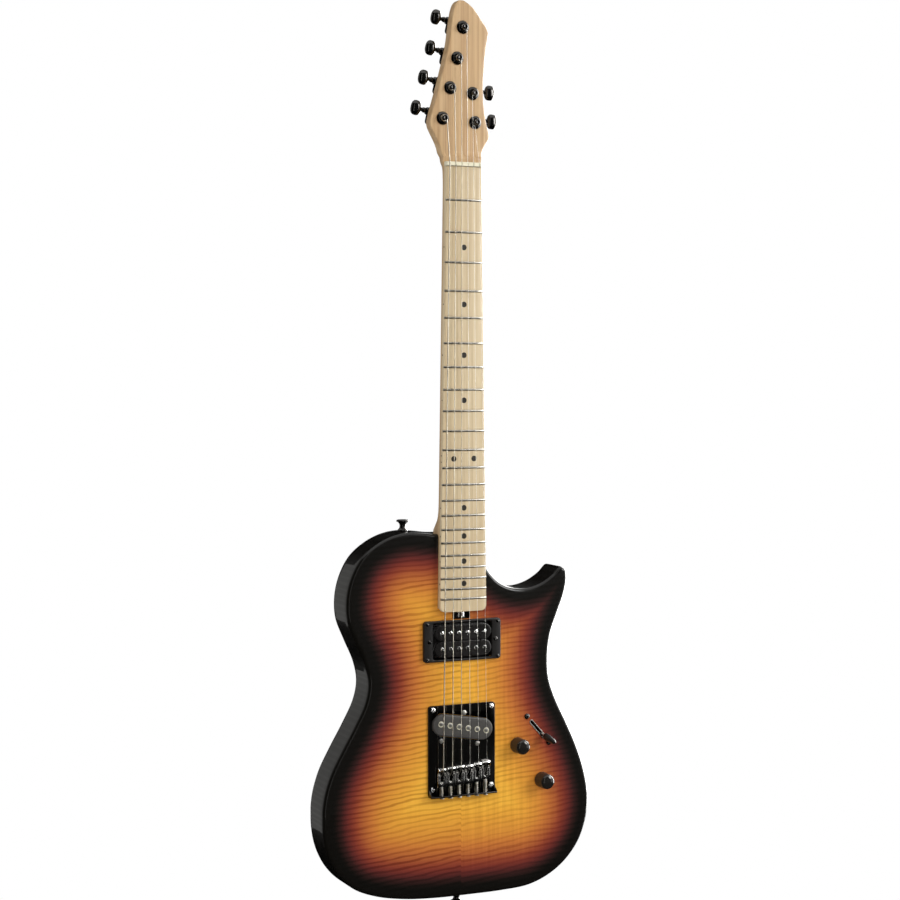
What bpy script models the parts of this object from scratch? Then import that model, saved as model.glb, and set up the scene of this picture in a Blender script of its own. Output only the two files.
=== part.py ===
"""Single-cutaway electric guitar with a bolt-on neck, built as separate working pieces.

The design is written in millimetres in the guitar's own frame: X runs to the treble side, Y runs from
the strings into the body, Z runs up the neck, with Y = 0 at the fret crowns and Z = 0 at the front edge
of the nut.  The finished pieces stand upright, faces towards -Y, with the origin in the headstock root,
where a hanger's yoke carries the instrument.
"""
import math
import bpy
import bmesh
from mathutils import Vector, Matrix

# ---------------------------------------------------------------- driving dimensions, millimetres
MM = 0.001
HANG = (0.0, 21.0, 14.0)      # hanging point in the guitar's frame
GAP = 0.3                     # clearance between touching pieces

SCALE = 648.0                 # nut to bridge string length
FRETS = 22
NUT_HALF = 21.0               # half the nut width
BOARD_HALF_22 = 27.55         # half the board width at the last fret
BOARD_END = 480.0             # nut to the end of the board
CAMBER = 305.0                # radius of the playing surface
FRET_H = 1.2
FRET_HALF = 1.2               # half the width of a fret at its foot
BOARD_BACK = 6.6              # Y of the glue face between board and neck

BODY_TOP = 8.5
CAP_T = 5.0                   # thickness of the maple top
BODY_T = 42.0
EDGE_R = 4.0                  # rounding of the body's edges

HEAD_FACE = 10.5
HEAD_T = 13.0
POST_STEP_R = 3.0             # tuner post radius
WAIST_R = 2.4
BUSH_R = 7.2

STRING_NUT = 7.0              # string spacing at the nut
STRING_SADDLE = 10.5          # string spacing at the saddles
ACTION_SADDLE = 3.3           # height of the strings over the fret plane at the saddles
ACTION_NUT = 0.5
GAUGES = [1.17, 0.91, 0.66, 0.43, 0.33, 0.25]          # string diameters, low to high
SADDLE_Z = [-651.0, -650.0, -649.2, -649.2, -648.0, -646.8]   # where each string leaves its saddle
TAIL_Z = -660.0               # strings go down through the body here

PLATE_W, PLATE_L, PLATE_T = 80.0, 99.8, 2.0
PLATE_Z = -631.8
SLANT = math.radians(-9.2)    # lean of the bridge pickup
RING_W, RING_L, RING_T = 91.8, 44.7, 4.0
RING_Z = -511.9

KNOBS = {"volume": (68.0, -632.5), "tone": (98.2, -673.6)}
KNOB_R, KNOB_H = 8.6, 18.5
SWITCH_AT = (93.7, -617.2)
SWITCH_DIR = math.radians(-48.7)
SWITCH_PIVOT = 30.5           # Y of the lever's pivot
SWITCH_TILT = 20.0            # degrees each side of the middle
JACK_Z = -697.0
JACK_X = 156.6                # flat seat on the side for the jack plate

# tuner posts: (x, z, side, lean of the button shaft in degrees, reach to the middle of the button)
TUNERS = [(-21.2, 51.1, -1, 12.8, 25.5), (-12.3, 84.0, -1, 12.8, 25.5), (-4.1, 116.0, -1, 12.8, 25.5),
          (2.5, 149.4, -1, 12.8, 25.5), (14.4, 79.4, 1, -5.0, 28.0), (17.2, 48.3, 1, -5.0, 28.0)]
POST_OF = [0, 1, 2, 3, 4, 5]  # which tuner each string goes to, low string first
WORM_OFF = 6.8                # worm shaft beside the post
WORM_Y = 28.5

# body outline, clockwise from the treble side of the heel
OUTLINE = [(27.2, -424), (26.8, -410), (23, -400.5), (12, -396.8), (-8, -396.2), (-26, -396),
           (-43, -394), (-62, -393), (-81, -396.6), (-99, -405), (-116, -419), (-127.5, -439),
           (-133, -461), (-132, -485), (-122.5, -509), (-112, -533), (-108, -554), (-112, -575),
           (-124, -599), (-139, -625), (-152, -650), (-159.6, -676), (-161, -702), (-156.5, -730),
           (-144, -755), (-125, -773), (-99, -784), (-66, -790.5), (-30, -793.3), (10, -793.8),
           (50, -793.6), (84, -791), (110, -781.5), (131, -766.5), (147, -746), (156, -721),
           (158.4, -697), (153.5, -668), (143.5, -639), (130, -610), (117, -584), (109, -561),
           (107.3, -538), (110.5, -512), (119, -489), (127.5, -467), (130.6, -450), (128.6, -439.5),
           (122.5, -437.5), (113, -446), (98, -455), (80, -459.6), (63, -458), (48, -451.5),
           (36.5, -441), (30.2, -431.5)]

# headstock and heel sections: z, left x, right x, front y, back y, squareness
HEAD = [(178.2, -1.5, 4.0, 0.0, 0.0, 1), (176.0, -4.0, 8.5, 0, 0, 1), (172.0, -6.2, 14.2, 0, 0, 1),
        (166.0, -8.0, 19.8, 0, 0, 1), (158.0, -9.4, 25.9, 0, 0, 1), (150.5, -10.6, 31.5, 0, 0, 1),
        (146.0, -11.3, 33.3, 0, 0, 1), (141.5, -11.9, 32.8, 0, 0, 1), (128.0, -14.0, 30.5, 0, 0, 1),
        (110.0, -18.4, 28.6, 0, 0, 1), (88.0, -24.2, 27.2, 0, 0, 1), (70.0, -29.4, 27.8, 0, 0, 1),
        (55.0, -33.8, 29.8, 0, 0, 1), (48.0, -35.3, 31.0, 0, 0, 1), (43.0, -35.0, 32.4, 0, 0, 1),
        (36.0, -31.8, 34.2, 0, 0, 1), (32.0, -29.6, 34.0, 0, 0, 1), (26.0, -26.4, 30.4, 0, 0, 1),
        (20.0, -23.9, 26.9, 0, 0, 1), (16.0, -22.9, 25.4, -0.2, 0, 1), (13.0, -22.3, 24.5, -1.1, 0, 0.9),
        (11.0, -21.9, 23.8, -2.5, -0.2, 0.8), (10.0, -21.7, 23.4, -3.6, -0.3, 0.75)]
SHAFT = [(4.6, 22.4, 6.9, 22.6, 0.5), (-1.0, 21.2, 6.9, 21.9, 0.3), (-14.0, 0, 6.9, 21.0, 0.1),
         (-34.0, 0, 6.9, 20.6, 0.0), (-120.0, 0, 6.9, 21.2, 0.0), (-220.0, 0, 6.9, 21.8, 0.0),
         (-320.0, 0, 6.9, 22.4, 0.0), (-360.0, 0, 6.9, 22.8, 0.0), (-372.0, 0, 6.9, 23.2, 0.15),
         (-380.0, 0, 6.9, 23.8, 0.4), (-387.0, 0, 6.9, 24.5, 0.75), (-393.0, 0, 6.9, 25.1, 1.0),
         (-476.0, 0, 6.9, 25.1, 1.0)]

CAVITY = [(52, -618), (62, -598), (80, -588), (100, -586), (112, -604), (122, -622), (132, -642),
          (140, -664), (144, -688), (141, -709), (118, -708), (90, -704), (66, -690), (53, -655)]

BODY_BACK = BODY_TOP + BODY_T
CAP_BACK = BODY_TOP + CAP_T
CORE_TOP = CAP_BACK + GAP
HEAD_BACK = HEAD_FACE + HEAD_T
NECK_BACK = 25.1
MID_Y = BODY_TOP + BODY_T / 2
PLATE_BACK = BODY_TOP - GAP
PLATE_TOP = PLATE_BACK - PLATE_T

# ---------------------------------------------------------------- scene and helpers
for ob in list(bpy.data.objects):
    bpy.data.objects.remove(ob)
PARTS = bpy.data.collections.new("electric_guitar")
CUTTERS = bpy.data.collections.new("cutters")
bpy.context.scene.collection.children.link(PARTS)
bpy.context.scene.collection.children.link(CUTTERS)

COLOURS = {
    "dark_lacquer": ((0.012, 0.010, 0.009), 0.15, 0.0), "sunburst": ((0.62, 0.27, 0.05), 0.15, 0.0),
    "maple": ((0.62, 0.47, 0.28), 0.4, 0.0), "black_metal": ((0.02, 0.02, 0.02), 0.25, 0.9),
    "chrome": ((0.8, 0.8, 0.8), 0.12, 1.0), "steel": ((0.6, 0.6, 0.6), 0.3, 1.0),
    "black_plastic": ((0.02, 0.02, 0.02), 0.4, 0.0), "bone": ((0.8, 0.77, 0.65), 0.4, 0.0),
    "string_steel": ((0.62, 0.6, 0.56), 0.3, 1.0)}


def material(name):
    if name in bpy.data.materials:
        return bpy.data.materials[name]
    colour, rough, metal = COLOURS[name]
    mat = bpy.data.materials.new(name)
    mat.use_nodes = True
    bsdf = mat.node_tree.nodes["Principled BSDF"]
    bsdf.inputs["Base Color"].default_value = (*colour, 1)
    bsdf.inputs["Roughness"].default_value = rough
    bsdf.inputs["Metallic"].default_value = metal
    mat.diffuse_color = (*colour, 1)
    return mat


def world(x, y, z):
    return Vector(((x - HANG[0]) * MM, (y - HANG[1]) * MM, (z - HANG[2]) * MM))


class Frame:
    """A place to build in: origin and three directions, lengths in millimetres."""

    def __init__(self, x, y, z, u=(1, 0, 0), v=(0, 0, 1), n=(0, 1, 0)):
        self.o = (x, y, z)
        self.u, self.v, self.n = (Vector(d).normalized() for d in (u, v, n))

    def at(self, a, b, c):
        d = self.u * a + self.v * b + self.n * c
        return world(self.o[0] + d.x, self.o[1] + d.y, self.o[2] + d.z)


FRONT = Frame(0, 0, 0)        # u across, v up the neck, n into the body


def turned(x, z, angle):
    """Frame on the front face, turned by an angle about the line into the body."""
    c, s = math.cos(angle), math.sin(angle)
    return Frame(x, 0, z, (c, 0, s), (-s, 0, c), (0, 1, 0))


def prism(points, n0, n1, frame=FRONT):
    bm = bmesh.new()
    face = bm.faces.new([bm.verts.new(frame.at(a, b, n0)) for a, b in points])
    top = bmesh.ops.extrude_face_region(bm, geom=[face])
    shift = frame.n * (n1 - n0) * MM
    bmesh.ops.translate(bm, vec=shift, verts=[g for g in top["geom"] if isinstance(g, bmesh.types.BMVert)])
    bmesh.ops.recalc_face_normals(bm, faces=bm.faces[:])
    return bm


def lathe(profile, frame, segs=12, ring=False):
    """Turn a profile of (radius, distance along n); ring closes the profile on itself."""
    bm = bmesh.new()
    vs = [bm.verts.new(frame.at(r, 0, h)) for r, h in profile]
    pairs = list(zip(vs, vs[1:])) + ([(vs[-1], vs[0])] if ring else [])
    edges = [bm.edges.new(p) for p in pairs]
    bmesh.ops.spin(bm, geom=vs + edges, cent=frame.at(0, 0, 0), axis=frame.n, dvec=(0, 0, 0),
                   angle=2 * math.pi, steps=segs, use_merge=True, use_duplicate=False)
    bmesh.ops.remove_doubles(bm, verts=bm.verts[:], dist=1e-6)
    bmesh.ops.recalc_face_normals(bm, faces=bm.faces[:])
    return bm


def loft(rings):
    bm = bmesh.new()
    rows = [[bm.verts.new(p) for p in ring] for ring in rings]
    n = len(rows[0])
    for a, b in zip(rows, rows[1:]):
        for i in range(n):
            bm.faces.new((a[i], a[(i + 1) % n], b[(i + 1) % n], b[i]))
    bm.faces.new(rows[0])
    bm.faces.new(rows[-1])
    bmesh.ops.recalc_face_normals(bm, faces=bm.faces[:])
    return bm


def merged(*pieces):
    """Several solids that don't touch, in one mesh, for use as one cutter."""
    bm = pieces[0]
    for other in pieces[1:]:
        mesh = bpy.data.meshes.new("tmp")
        other.to_mesh(mesh)
        bm.from_mesh(mesh)
        bpy.data.meshes.remove(mesh)
        other.free()
    return bm


def piece(name, bm, mat, origin=None, collection=None):
    mesh = bpy.data.meshes.new(name)
    if origin is not None:
        bmesh.ops.translate(bm, vec=-origin, verts=bm.verts[:])
    bm.to_mesh(mesh)
    bm.free()
    ob = bpy.data.objects.new(name, mesh)
    if origin is not None:
        ob.location = origin
    mesh.materials.append(material(mat))
    mesh.shade_smooth()
    mesh.set_sharp_from_angle(angle=math.radians(32))
    (collection or PARTS).objects.link(ob)
    return ob


def boolean(ob, kind, bm):
    count = len([m for m in ob.modifiers if m.type == "BOOLEAN"])
    tool = piece("%s_%s_%d" % (kind.lower(), ob.name, count), bm, "steel", collection=CUTTERS)
    tool.hide_render = True
    tool.display_type = "WIRE"
    mod = ob.modifiers.new(tool.name, "BOOLEAN")
    mod.operation, mod.object, mod.solver = kind, tool, "EXACT"
    return ob


def cut(ob, bm):
    return boolean(ob, "DIFFERENCE", bm)


def add(ob, bm):
    return boolean(ob, "UNION", bm)


def circle(x, z, r, k=12):
    return [(x + r * math.cos(2 * math.pi * i / k), z + r * math.sin(2 * math.pi * i / k)) for i in range(k)]


def round_rect(w, h, r, k=3, x=0.0, z=0.0):
    pts = []
    for cx, cz, a0 in ((w / 2 - r, h / 2 - r, 0), (r - w / 2, h / 2 - r, 90),
                       (r - w / 2, r - h / 2, 180), (w / 2 - r, r - h / 2, 270)):
        for i in range(k + 1):
            a = math.radians(a0 + 90 * i / k)
            pts.append((x + cx + r * math.cos(a), z + cz + r * math.sin(a)))
    return pts


def stadium(length, width, k=6):
    r, h = width / 2, (length - width) / 2
    right = [(h + r * math.cos(math.radians(-90 + 180 * i / k)),
              r * math.sin(math.radians(-90 + 180 * i / k))) for i in range(k + 1)]
    return right + [(-x, -z) for x, z in right]


def smooth(points, steps=2):
    """Closed centripetal curve through the points."""
    out, n = [], len(points)
    for i in range(n):
        p = [Vector(points[(i + j - 1) % n]) for j in range(4)]
        t = [0.0]
        for a, b in zip(p, p[1:]):
            t.append(t[-1] + (b - a).length ** 0.5)
        for s in range(steps):
            u = t[1] + (t[2] - t[1]) * s / steps
            a = [p[j] * ((t[j + 1] - u) / (t[j + 1] - t[j])) + p[j + 1] * ((u - t[j]) / (t[j + 1] - t[j]))
                 for j in range(3)]
            b = [a[j] * ((t[j + 2] - u) / (t[j + 2] - t[j])) + a[j + 1] * ((u - t[j]) / (t[j + 2] - t[j]))
                 for j in range(2)]
            c = b[0] * ((t[2] - u) / (t[2] - t[1])) + b[1] * ((u - t[1]) / (t[2] - t[1]))
            out.append((c.x, c.y))
    return out


def grown(points, d):
    """Outline moved outwards by d (points run clockwise or not, about their middle)."""
    mx = sum(p[0] for p in points) / len(points)
    mz = sum(p[1] for p in points) / len(points)
    out = []
    for x, z in points:
        r = math.hypot(x - mx, z - mz)
        out.append((mx + (x - mx) * (r + d) / r, mz + (z - mz) * (r + d) / r))
    return out


def bevel(ob, width, segments, angle=50, where=None):
    """Round sharp edges; where(mesh vertex position) picks them by bevel weight."""
    mod = ob.modifiers.new("round", "BEVEL")
    mod.width, mod.segments, mod.limit_method = width * MM, segments, "ANGLE"
    mod.angle_limit = math.radians(angle)
    if where:
        mod.limit_method = "WEIGHT"
        layer = ob.data.attributes.new("bevel_weight_edge", "FLOAT", "EDGE")
        for e in ob.data.edges:
            a, b = (ob.data.vertices[v].co for v in e.vertices)
            layer.data[e.index].value = 1.0 if where(a) and where(b) else 0.0
    return ob


def fret_z(n):
    return -SCALE * (1 - 2 ** (-n / 12))


def board_half(z):
    return NUT_HALF + (BOARD_HALF_22 - NUT_HALF) * z / fret_z(FRETS)


def crown(x):
    return x * x / (2 * CAMBER)


# ---------------------------------------------------------------- body
outline = smooth(OUTLINE)
hw0, hw1 = board_half(-380) + GAP, board_half(-476) + GAP
POCKET = [(-hw0, -380), (hw0, -380), (hw1, -476 - GAP), (-hw1, -476 - GAP)]
PICKUP_FRAME = turned(0.2, -606.9, SLANT)
SWITCH = turned(*SWITCH_AT, SWITCH_DIR)
TRUSS_BAY = [(-10.5, -475), (10.5, -475), (10.5, -489), (-10.5, -489)]
SADDLE_X = [STRING_SADDLE * (i - 2.5) for i in range(6)]
NUT_X = [STRING_NUT * (i - 2.5) for i in range(6)]


def shared_routes(y0, y1, route_floor):
    """Cavities that start in the top: pickup routes."""
    floor = min(y1, route_floor)
    return merged(prism(round_rect(73, 41, 6, x=0, z=RING_Z), y0, floor),
                  prism(round_rect(75.5, 39.5, 10), y0, floor, PICKUP_FRAME))


top = piece("body_top", prism(outline, BODY_TOP, CAP_BACK), "sunburst")
front_y = world(0, BODY_TOP, 0).y
bevel(top, EDGE_R, 2, where=lambda p: abs(p.y - front_y) < 1e-6)
cut(top, prism(POCKET, 0, 30))
cut(top, prism(TRUSS_BAY, 0, 30))
cut(top, shared_routes(0, 30, 30))
cut(top, prism(round_rect(88, 13, 4, x=0, z=RING_Z), 0, 30))
cut(top, merged(*[prism(circle(x, TAIL_Z, 2.0, 8), 0, 30) for x in SADDLE_X],
                *[prism(circle(x, z, 5.2, 10), 0, 30) for x, z in KNOBS.values()],
                prism(round_rect(27, 3.4, 1.5, 2), 0, 30, SWITCH),
                prism(circle(20.65, 0, 1.9, 8), 0, 30, SWITCH),
                prism(circle(-20.65, 0, 1.9, 8), 0, 30, SWITCH)))

core = piece("body_core", prism(outline, CORE_TOP, BODY_BACK), "dark_lacquer")
back_y = world(0, BODY_BACK, 0).y
bevel(core, EDGE_R, 2, where=lambda p: abs(p.y - back_y) < 1e-6)
cut(core, prism(POCKET, 0, NECK_BACK + GAP))
cut(core, prism(TRUSS_BAY, 0, 20.5))
cut(core, shared_routes(0, 60, 28.0))
cut(core, prism(round_rect(88, 13, 4, x=0, z=RING_Z), 0, 28.0))
cut(core, prism(CAVITY, 0, 60))
cut(core, merged(*[lathe([(0, 0), (2.0, 0), (2.0, 37.7), (3.9, 37.7), (3.9, 60), (0, 60)],
                         Frame(x, 0, TAIL_Z), 8) for x in SADDLE_X]))
cut(core, prism(round_rect(25, 37, 3, x=MID_Y, z=JACK_Z), JACK_X, 170,
                Frame(0, 0, 0, (0, 1, 0), (0, 0, 1), (1, 0, 0))))
cut(core, lathe([(0, 130), (10.4, 130), (10.4, 165), (0, 165)],
                Frame(0, MID_Y, JACK_Z, (0, 1, 0), (0, 0, 1), (1, 0, 0)), 16))

cover = piece("control_cover", prism(grown(CAVITY, 6), BODY_BACK + GAP, BODY_BACK + 2.3), "black_plastic")
for x, z in ((60, -612), (106, -592), (141, -700), (64, -684)):
    add(cover, lathe([(0, 3.2), (1.6, 3.0), (2.8, 2.2), (2.8, 1.6), (0, 1.6)],
                     Frame(x, BODY_BACK, z), 8))

plate = piece("neck_plate", prism(round_rect(50, 63, 5, x=0, z=-436.5), BODY_BACK + GAP, BODY_BACK + 2.3),
              "black_metal")
for x in (-19, 19):
    for z in (-411.5, -461.5):
        add(plate, lathe([(0, 4.4), (2.4, 4.0), (4.2, 2.8), (4.2, 1.6), (0, 1.6)], Frame(x, BODY_BACK, z), 10))

# ---------------------------------------------------------------- neck
SIDE = 13


def section(z, xl, xr, y0, y1, square):
    """Neck cross-section: flat front, back between a half ellipse and a rounded block."""
    xc, a, d = (xl + xr) / 2, (xr - xl) / 2, y1 - y0
    r = min(2.0, 0.4 * a)
    ellipse = [(xc + a * math.cos(math.pi * i / 12), y0 + d * math.sin(math.pi * i / 12) ** 0.85)
               for i in range(SIDE)]
    half = [(a, 0), (a, 0.4 * d), (a, d - r), (a - 0.3 * r, d - 0.3 * r), (a - r, d), (a * 0.4, d)]
    block = [(xc + p, y0 + q) for p, q in half] + [(xc, y1)] + [(xc - p, y0 + q) for p, q in half[::-1]]
    return [world(e[0] * (1 - square) + b[0] * square, e[1] * (1 - square) + b[1] * square, z)
            for e, b in zip(ellipse, block)]


rings = [section(z, xl, xr, HEAD_FACE + dy, HEAD_BACK + by, sq) for z, xl, xr, dy, by, sq in HEAD]
rings += [section(z, -(h or board_half(z)), h or board_half(z), y0, y1, sq) for z, h, y0, y1, sq in SHAFT]
neck = piece("neck", loft(rings), "maple")
cut(neck, merged(*[prism(circle(x, z, 5.1, 12), 0, 40) for x, z, _, _, _ in TUNERS]))
cut(neck, prism([(-3.3, -8), (3.3, -8), (3.3, -490), (-3.3, -490)], 0, 16.5))

rings = []


def board_ring(z, lift):
    h = board_half(z)
    top_line = [(x, crown(x) + FRET_H - lift) for x in (-h, -h / 2, 0, h / 2, h)]
    return [world(x, y, z) for x, y in [(-h, BOARD_BACK)] + top_line + [(h, BOARD_BACK)]]


rings.append(board_ring(-GAP, 0))
for n in range(1, FRETS + 1):
    z = fret_z(n)
    for dz, lift in ((FRET_HALF, 0), (0.5, FRET_H), (-0.5, FRET_H), (-FRET_HALF, 0)):
        rings.append(board_ring(z + dz, lift))
rings += [board_ring(-BOARD_END + 4, 0), board_ring(-BOARD_END, 0)]
board = piece("fretboard", loft(rings), "maple")

rod = piece("truss_rod", prism([(-3, -8.4), (3, -8.4), (3, -477.5), (-3, -477.5)], 7.0, 16.0), "steel")
DOWN = Frame(0, 12.3, 0, (1, 0, 0), (0, 1, 0), (0, 0, -1))
add(rod, lathe([(0, 470), (2.4, 470), (2.4, 487.5), (0, 487.5)], DOWN, 10))
piece("truss_rod_nut", lathe([(2.8, 481), (5.2, 481), (5.8, 481.8), (5.8, 486.2), (5.2, 487), (2.8, 487)],
                             DOWN, 16, ring=True), "chrome", origin=world(0, 12.3, -484))


def string_y(i, z):
    """Depth of a string's underside over its free length."""
    x0, x1 = NUT_X[i], SADDLE_X[i]
    y0, y1 = -ACTION_NUT + crown(x0), -ACTION_SADDLE + crown(x1)
    return y0 + (y1 - y0) * z / SADDLE_Z[i]


slots = []
for i in range(6):
    w = GAUGES[i] / 2 + 0.35
    bottom = string_y(i, 0) + GAP
    lip = -1.5 + crown(NUT_X[i])
    slots += [(NUT_X[i] - w - 0.15, lip), (NUT_X[i] - w, bottom), (NUT_X[i] + w, bottom), (NUT_X[i] + w + 0.15, lip)]
nut_points = [(-NUT_HALF, BOARD_BACK)] + [(-NUT_HALF, -0.2), (-NUT_HALF + 1, -0.8)] + slots
nut_points += [(NUT_HALF - 1, -0.8), (NUT_HALF, -0.2), (NUT_HALF, BOARD_BACK)]
piece("nut", prism(nut_points, 0, 4.4, Frame(0, 0, 0, (1, 0, 0), (0, 1, 0), (0, 0, 1))), "bone")

# ---------------------------------------------------------------- tuners
POST_TOP = 1.8
WRAP_Y = 5.2
for k, (x, z, side, lean, reach) in enumerate(TUNERS):
    tag = str(k + 1)
    a = math.radians(lean)
    out = Vector((side * math.cos(a), 0, math.sin(a)))
    up = Vector((-side * math.sin(a), 0, math.cos(a)))
    post = Frame(x, 0, z, out, up, (0, 1, 0))
    shaft = Frame(x + up.x * WORM_OFF, WORM_Y, z + up.z * WORM_OFF, (0, 1, 0), up, out)

    house = piece("tuner_housing_" + tag,
                  prism(round_rect(19.0, 20.0, 4.0, 3, x=1.5, z=3.0), HEAD_BACK + GAP, HEAD_BACK + 11.5, post),
                  "black_metal")
    face = HEAD_FACE - GAP
    add(house, lathe([(0, face - 2.6), (5.2, face - 2.6), (BUSH_R, face - 1.0), (BUSH_R, face), (4.8, face),
                      (4.8, HEAD_BACK + 2), (0, HEAD_BACK + 2)], post, 12))
    add(house, lathe([(0, 8), (4.2, 8), (4.2, 13.0), (3.4, 14.0), (0, 14.0)], shaft, 10))
    cut(house, lathe([(0, 0), (POST_STEP_R + GAP, 0), (POST_STEP_R + GAP, HEAD_BACK + 8.5), (0, HEAD_BACK + 8.5)],
                     post, 12))
    cut(house, lathe([(0, -5), (2.3, -5), (2.3, 20), (0, 20)], shaft, 10))

    piece("tuner_post_" + tag,
          lathe([(0, POST_TOP), (2.5, POST_TOP), (POST_STEP_R, POST_TOP + 0.6), (POST_STEP_R, POST_TOP + 1.4),
                 (WAIST_R, POST_TOP + 2.2), (WAIST_R, 6.4), (POST_STEP_R, 7.2), (POST_STEP_R, HEAD_BACK + 8.0),
                 (0, HEAD_BACK + 8.0)], post, 12), "black_metal", origin=world(x, WRAP_Y, z))

    button = []
    for s, rz, ry in ((-5.9, 1.0, 1.0), (-5.4, 4.6, 2.2), (-3.6, 7.0, 3.4), (0.0, 8.3, 4.0),
                      (3.6, 7.2, 3.4), (5.4, 4.8, 2.2), (5.9, 1.6, 0.9)):
        button.append([shaft.at(ry * math.cos(math.pi * j / 5), rz * math.sin(math.pi * j / 5), reach + s)
                       for j in range(10)])
    knob = piece("tuner_button_" + tag, loft(button), "black_metal", origin=shaft.at(0, 0, reach))
    add(knob, lathe([(0, -4.5), (2.0, -4.5), (2.0, 14.6), (2.9, 15.2), (2.9, 16.6), (2.0, 17.4),
                     (2.0, reach - 2), (0, reach - 2)], shaft, 10))

# ---------------------------------------------------------------- strings
for i in range(6):
    x, z, side, _, _ = TUNERS[POST_OF[i]]
    r = GAUGES[i] / 2
    xs, zs, xn = SADDLE_X[i], SADDLE_Z[i], NUT_X[i]
    ys, yn = string_y(i, zs) - r, string_y(i, 0) - r
    wrap = WAIST_R + GAP + r
    turn = -side
    path = [(xs, 44.0, TAIL_Z), (xs, 9.0, TAIL_Z), (xs, 4.6, TAIL_Z + 0.6), (xs, ys + 1.8, zs - 3.4),
            (xs, ys + 0.3, zs - 1.4), (xs, ys, zs), (xn, yn, 0.4), (xn, yn + 0.05, 4.2)]
    end = (x + turn * wrap, WRAP_Y, z)
    path.append(end)
    for j in (1, 2, 3):
        a = math.radians(30 * j)
        path.append((x + turn * wrap * math.cos(a), WRAP_Y, z + wrap * math.sin(a)))
    curve = bpy.data.curves.new("string_%d" % (i + 1), "CURVE")
    curve.dimensions = "3D"
    curve.bevel_depth, curve.bevel_resolution, curve.use_fill_caps = r * MM, 2, True
    curve.render_resolution_u = 0
    line = curve.splines.new("POLY")
    line.points.add(len(path) - 1)
    home = world(*path[5])
    for pt, p in zip(line.points, path):
        pt.co = (*(world(*p) - home), 1)
    ob = bpy.data.objects.new("string_%d" % (i + 1), curve)
    ob.location = home
    curve.materials.append(material("string_steel"))
    PARTS.objects.link(ob)

# ---------------------------------------------------------------- bridge
ROD_Y = 2.2
LIP_TOP = -1.2
REAR_Z = PLATE_Z - PLATE_L / 2
bridge = piece("bridge_plate", prism(round_rect(PLATE_W, PLATE_L, 3.5, 3, x=0, z=PLATE_Z), PLATE_TOP, PLATE_BACK),
               "chrome")
add(bridge, prism([(-PLATE_W / 2 + 0.4, REAR_Z + 0.1), (PLATE_W / 2 - 0.4, REAR_Z + 0.1),
                   (PLATE_W / 2 - 0.4, REAR_Z + 2.1), (-PLATE_W / 2 + 0.4, REAR_Z + 2.1)],
                  LIP_TOP, PLATE_BACK - 0.2))
cut(bridge, prism(stadium(74, 25.2), 0, 20, PICKUP_FRAME))
cut(bridge, merged(*[prism(circle(x, TAIL_Z, 1.9, 8), 0, 20) for x in SADDLE_X]))
for x in (-35.0, 35.0):
    for z in (-586.5, -673.5):
        add(bridge, lathe([(0, PLATE_TOP - 1.5), (1.7, PLATE_TOP - 1.2), (3.0, PLATE_TOP - 0.2),
                           (3.0, PLATE_TOP + 0.6), (0, PLATE_TOP + 0.6)], Frame(x, 0, z), 8))
for x, z in ((-24.7, -620.5), (2.6, -591.4), (18.3, -626.2)):
    add(bridge, lathe([(0, PLATE_TOP - 1.6), (1.6, PLATE_TOP - 1.3), (2.7, PLATE_TOP - 0.3),
                       (2.7, PLATE_TOP + 0.6), (0, PLATE_TOP + 0.6)], Frame(x, 0, z), 8))
for x in SADDLE_X:
    add(bridge, lathe([(0, 664.0), (1.5, 664.0), (1.5, -REAR_Z + 0.4), (2.7, -REAR_Z + 0.4),
                       (2.7, -REAR_Z + 1.6), (0, -REAR_Z + 1.6)],
                      Frame(x, ROD_Y, 0, (1, 0, 0), (0, 1, 0), (0, 0, -1)), 8))

for i in range(6):
    x, zc = SADDLE_X[i], SADDLE_Z[i]
    yc = -ACTION_SADDLE + crown(x) + GAP
    side_line = [(zc + 2.2, PLATE_TOP - GAP), (zc + 2.2, yc + 1.6), (zc + 1.0, yc + 0.1), (zc - 0.6, yc),
                 (zc - 3.0, yc + 2.6), (zc - 18.5, yc + 2.6), (zc - 20.0, yc + 4.0), (zc - 20.0, PLATE_TOP - GAP)]
    saddle = piece("saddle_%d" % (i + 1),
                   prism([(p, q) for p, q in side_line], -5.05, 5.05,
                         Frame(x, 0, 0, (0, 0, 1), (0, 1, 0), (1, 0, 0))), "chrome",
                   origin=world(x, PLATE_TOP - GAP, zc))
    cut(saddle, prism(round_rect(4.4, 12.0, 2.0, 3, x=x, z=zc - 9.2), -10, 20))
    cut(saddle, lathe([(0, 660.0), (1.85, 660.0), (1.85, 690), (0, 690)],
                      Frame(x, ROD_Y, 0, (1, 0, 0), (0, 1, 0), (0, 0, -1)), 8))
    piece("ferrule_%d" % (i + 1),
          lathe([(1.2, 38.0), (3.6, 38.0), (3.6, BODY_BACK + GAP), (4.6, BODY_BACK + GAP), (4.6, BODY_BACK + 1.4),
                 (2.6, BODY_BACK + 1.4), (2.6, 46.0), (1.2, 46.0)], Frame(x, 0, TAIL_Z), 12, ring=True),
          "black_metal")

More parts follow.
